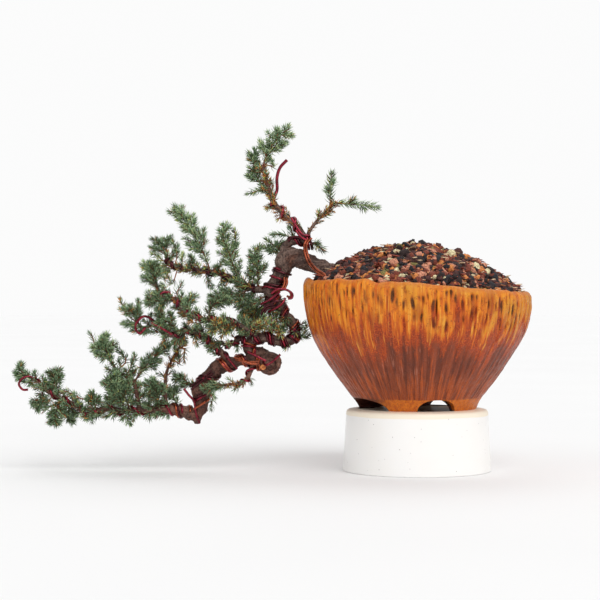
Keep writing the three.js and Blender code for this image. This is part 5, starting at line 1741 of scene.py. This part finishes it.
class StageOperator(bpy.types.Operator):
    """Sets the pale floor, the soft lights and the camera at the front"""

    bl_idname = "juniper.stage"
    bl_label = "Stage"

    def execute(self, context):
        clear_selection()
        bpy.ops.mesh.primitive_plane_add(size=30, location=(0, 0, 0))
        floor = context.object
        floor.name = "floor"
        white = Finish("floor_white", (0.9, 0.9, 0.9), 0.8)
        white.colour(white.mix(white.noise(3, 1), (0.88, 0.88, 0.88), (0.92, 0.92, 0.92)))
        floor.data.materials.append(white.material)
        self.studio(context)
        for name, place, width, power in SUNS:
            lamp = bpy.data.lights.new(name, "SUN")
            lamp.angle = math.radians(width)
            lamp.energy = power
            light = new_object(name, lamp)
            light.location = place
            light.rotation_euler = (-Vector(place)).to_track_quat("-Z", "Y").to_euler()
        camera = new_object("front", bpy.data.cameras.new("front"))
        camera.data.lens = LENS
        camera.data.sensor_width = SENSOR_WIDTH
        camera.location = (EYE_ACROSS * MM, -EYE_DISTANCE * MM, EYE_UP * MM)
        camera.rotation_euler = (math.pi / 2, 0, 0)
        context.scene.camera = camera
        context.scene.view_settings.view_transform = "Standard"
        return {"FINISHED"}

    def studio(self, context):
        """Soft light from all round, in front of a plain white backdrop."""
        world = bpy.data.worlds.new("studio")
        world.use_nodes = True
        nodes, join = world.node_tree.nodes, world.node_tree.links.new
        light, backdrop = nodes["Background"], nodes.new("ShaderNodeBackground")
        for shade, tone, strength in ((light, 1, 0.5), (backdrop, 0.97, 1)):
            shade.inputs["Color"].default_value = (tone, tone, tone, 1)
            shade.inputs["Strength"].default_value = strength
        mix = nodes.new("ShaderNodeMixShader")
        join(nodes.new("ShaderNodeLightPath").outputs["Is Camera Ray"], mix.inputs[0])
        join(light.outputs[0], mix.inputs[1])
        join(backdrop.outputs[0], mix.inputs[2])
        join(mix.outputs[0], nodes["World Output"].inputs[0])
        context.scene.world = world


class JuniperPanel(bpy.types.Panel):
    """Lists the pieces in the order in which they are made"""

    bl_idname = "VIEW3D_PT_juniper"
    bl_label = "Cascade juniper"
    bl_space_type = "VIEW_3D"
    bl_region_type = "UI"
    bl_category = "Juniper"

    def draw(self, context):
        for operator in OPERATORS:
            self.layout.operator(operator.bl_idname)
        for holder in SETTINGS:
            box = self.layout.box()
            group = getattr(context.scene, holder)
            for key in group.bl_rna.properties.keys():
                if key not in ("rna_type", "name"):
                    box.prop(group, key)


OPERATORS = (
    StageOperator, PlinthOperator, BowlOperator, SoilOperator, WoodOperator, WireOperator, FoliageOperator,
)
SETTINGS = {
    "juniper_stand": StandSettings,
    "juniper_bowl": BowlSettings,
    "juniper_soil": SoilSettings,
    "juniper_wood": WoodSettings,
    "juniper_foliage": FoliageSettings,
}


def register():
    for group in SETTINGS.values():
        bpy.utils.register_class(group)
    for holder, group in SETTINGS.items():
        setattr(bpy.types.Scene, holder, bpy.props.PointerProperty(type=group))
    for operator in OPERATORS:
        bpy.utils.register_class(operator)
    bpy.utils.register_class(JuniperPanel)


def unregister():
    bpy.utils.unregister_class(JuniperPanel)
    for operator in reversed(OPERATORS):
        bpy.utils.unregister_class(operator)
    for holder in SETTINGS:
        delattr(bpy.types.Scene, holder)
    for group in SETTINGS.values():
        bpy.utils.unregister_class(group)


def main():
    register()
    bpy.ops.juniper.stage()
    bpy.ops.juniper.plinth()
    bpy.ops.juniper.bowl()
    bpy.ops.juniper.soil()
    bpy.ops.juniper.wood()
    bpy.ops.juniper.wires()
    bpy.ops.juniper.foliage()
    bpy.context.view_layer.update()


if __name__ == "__main__":
    main()
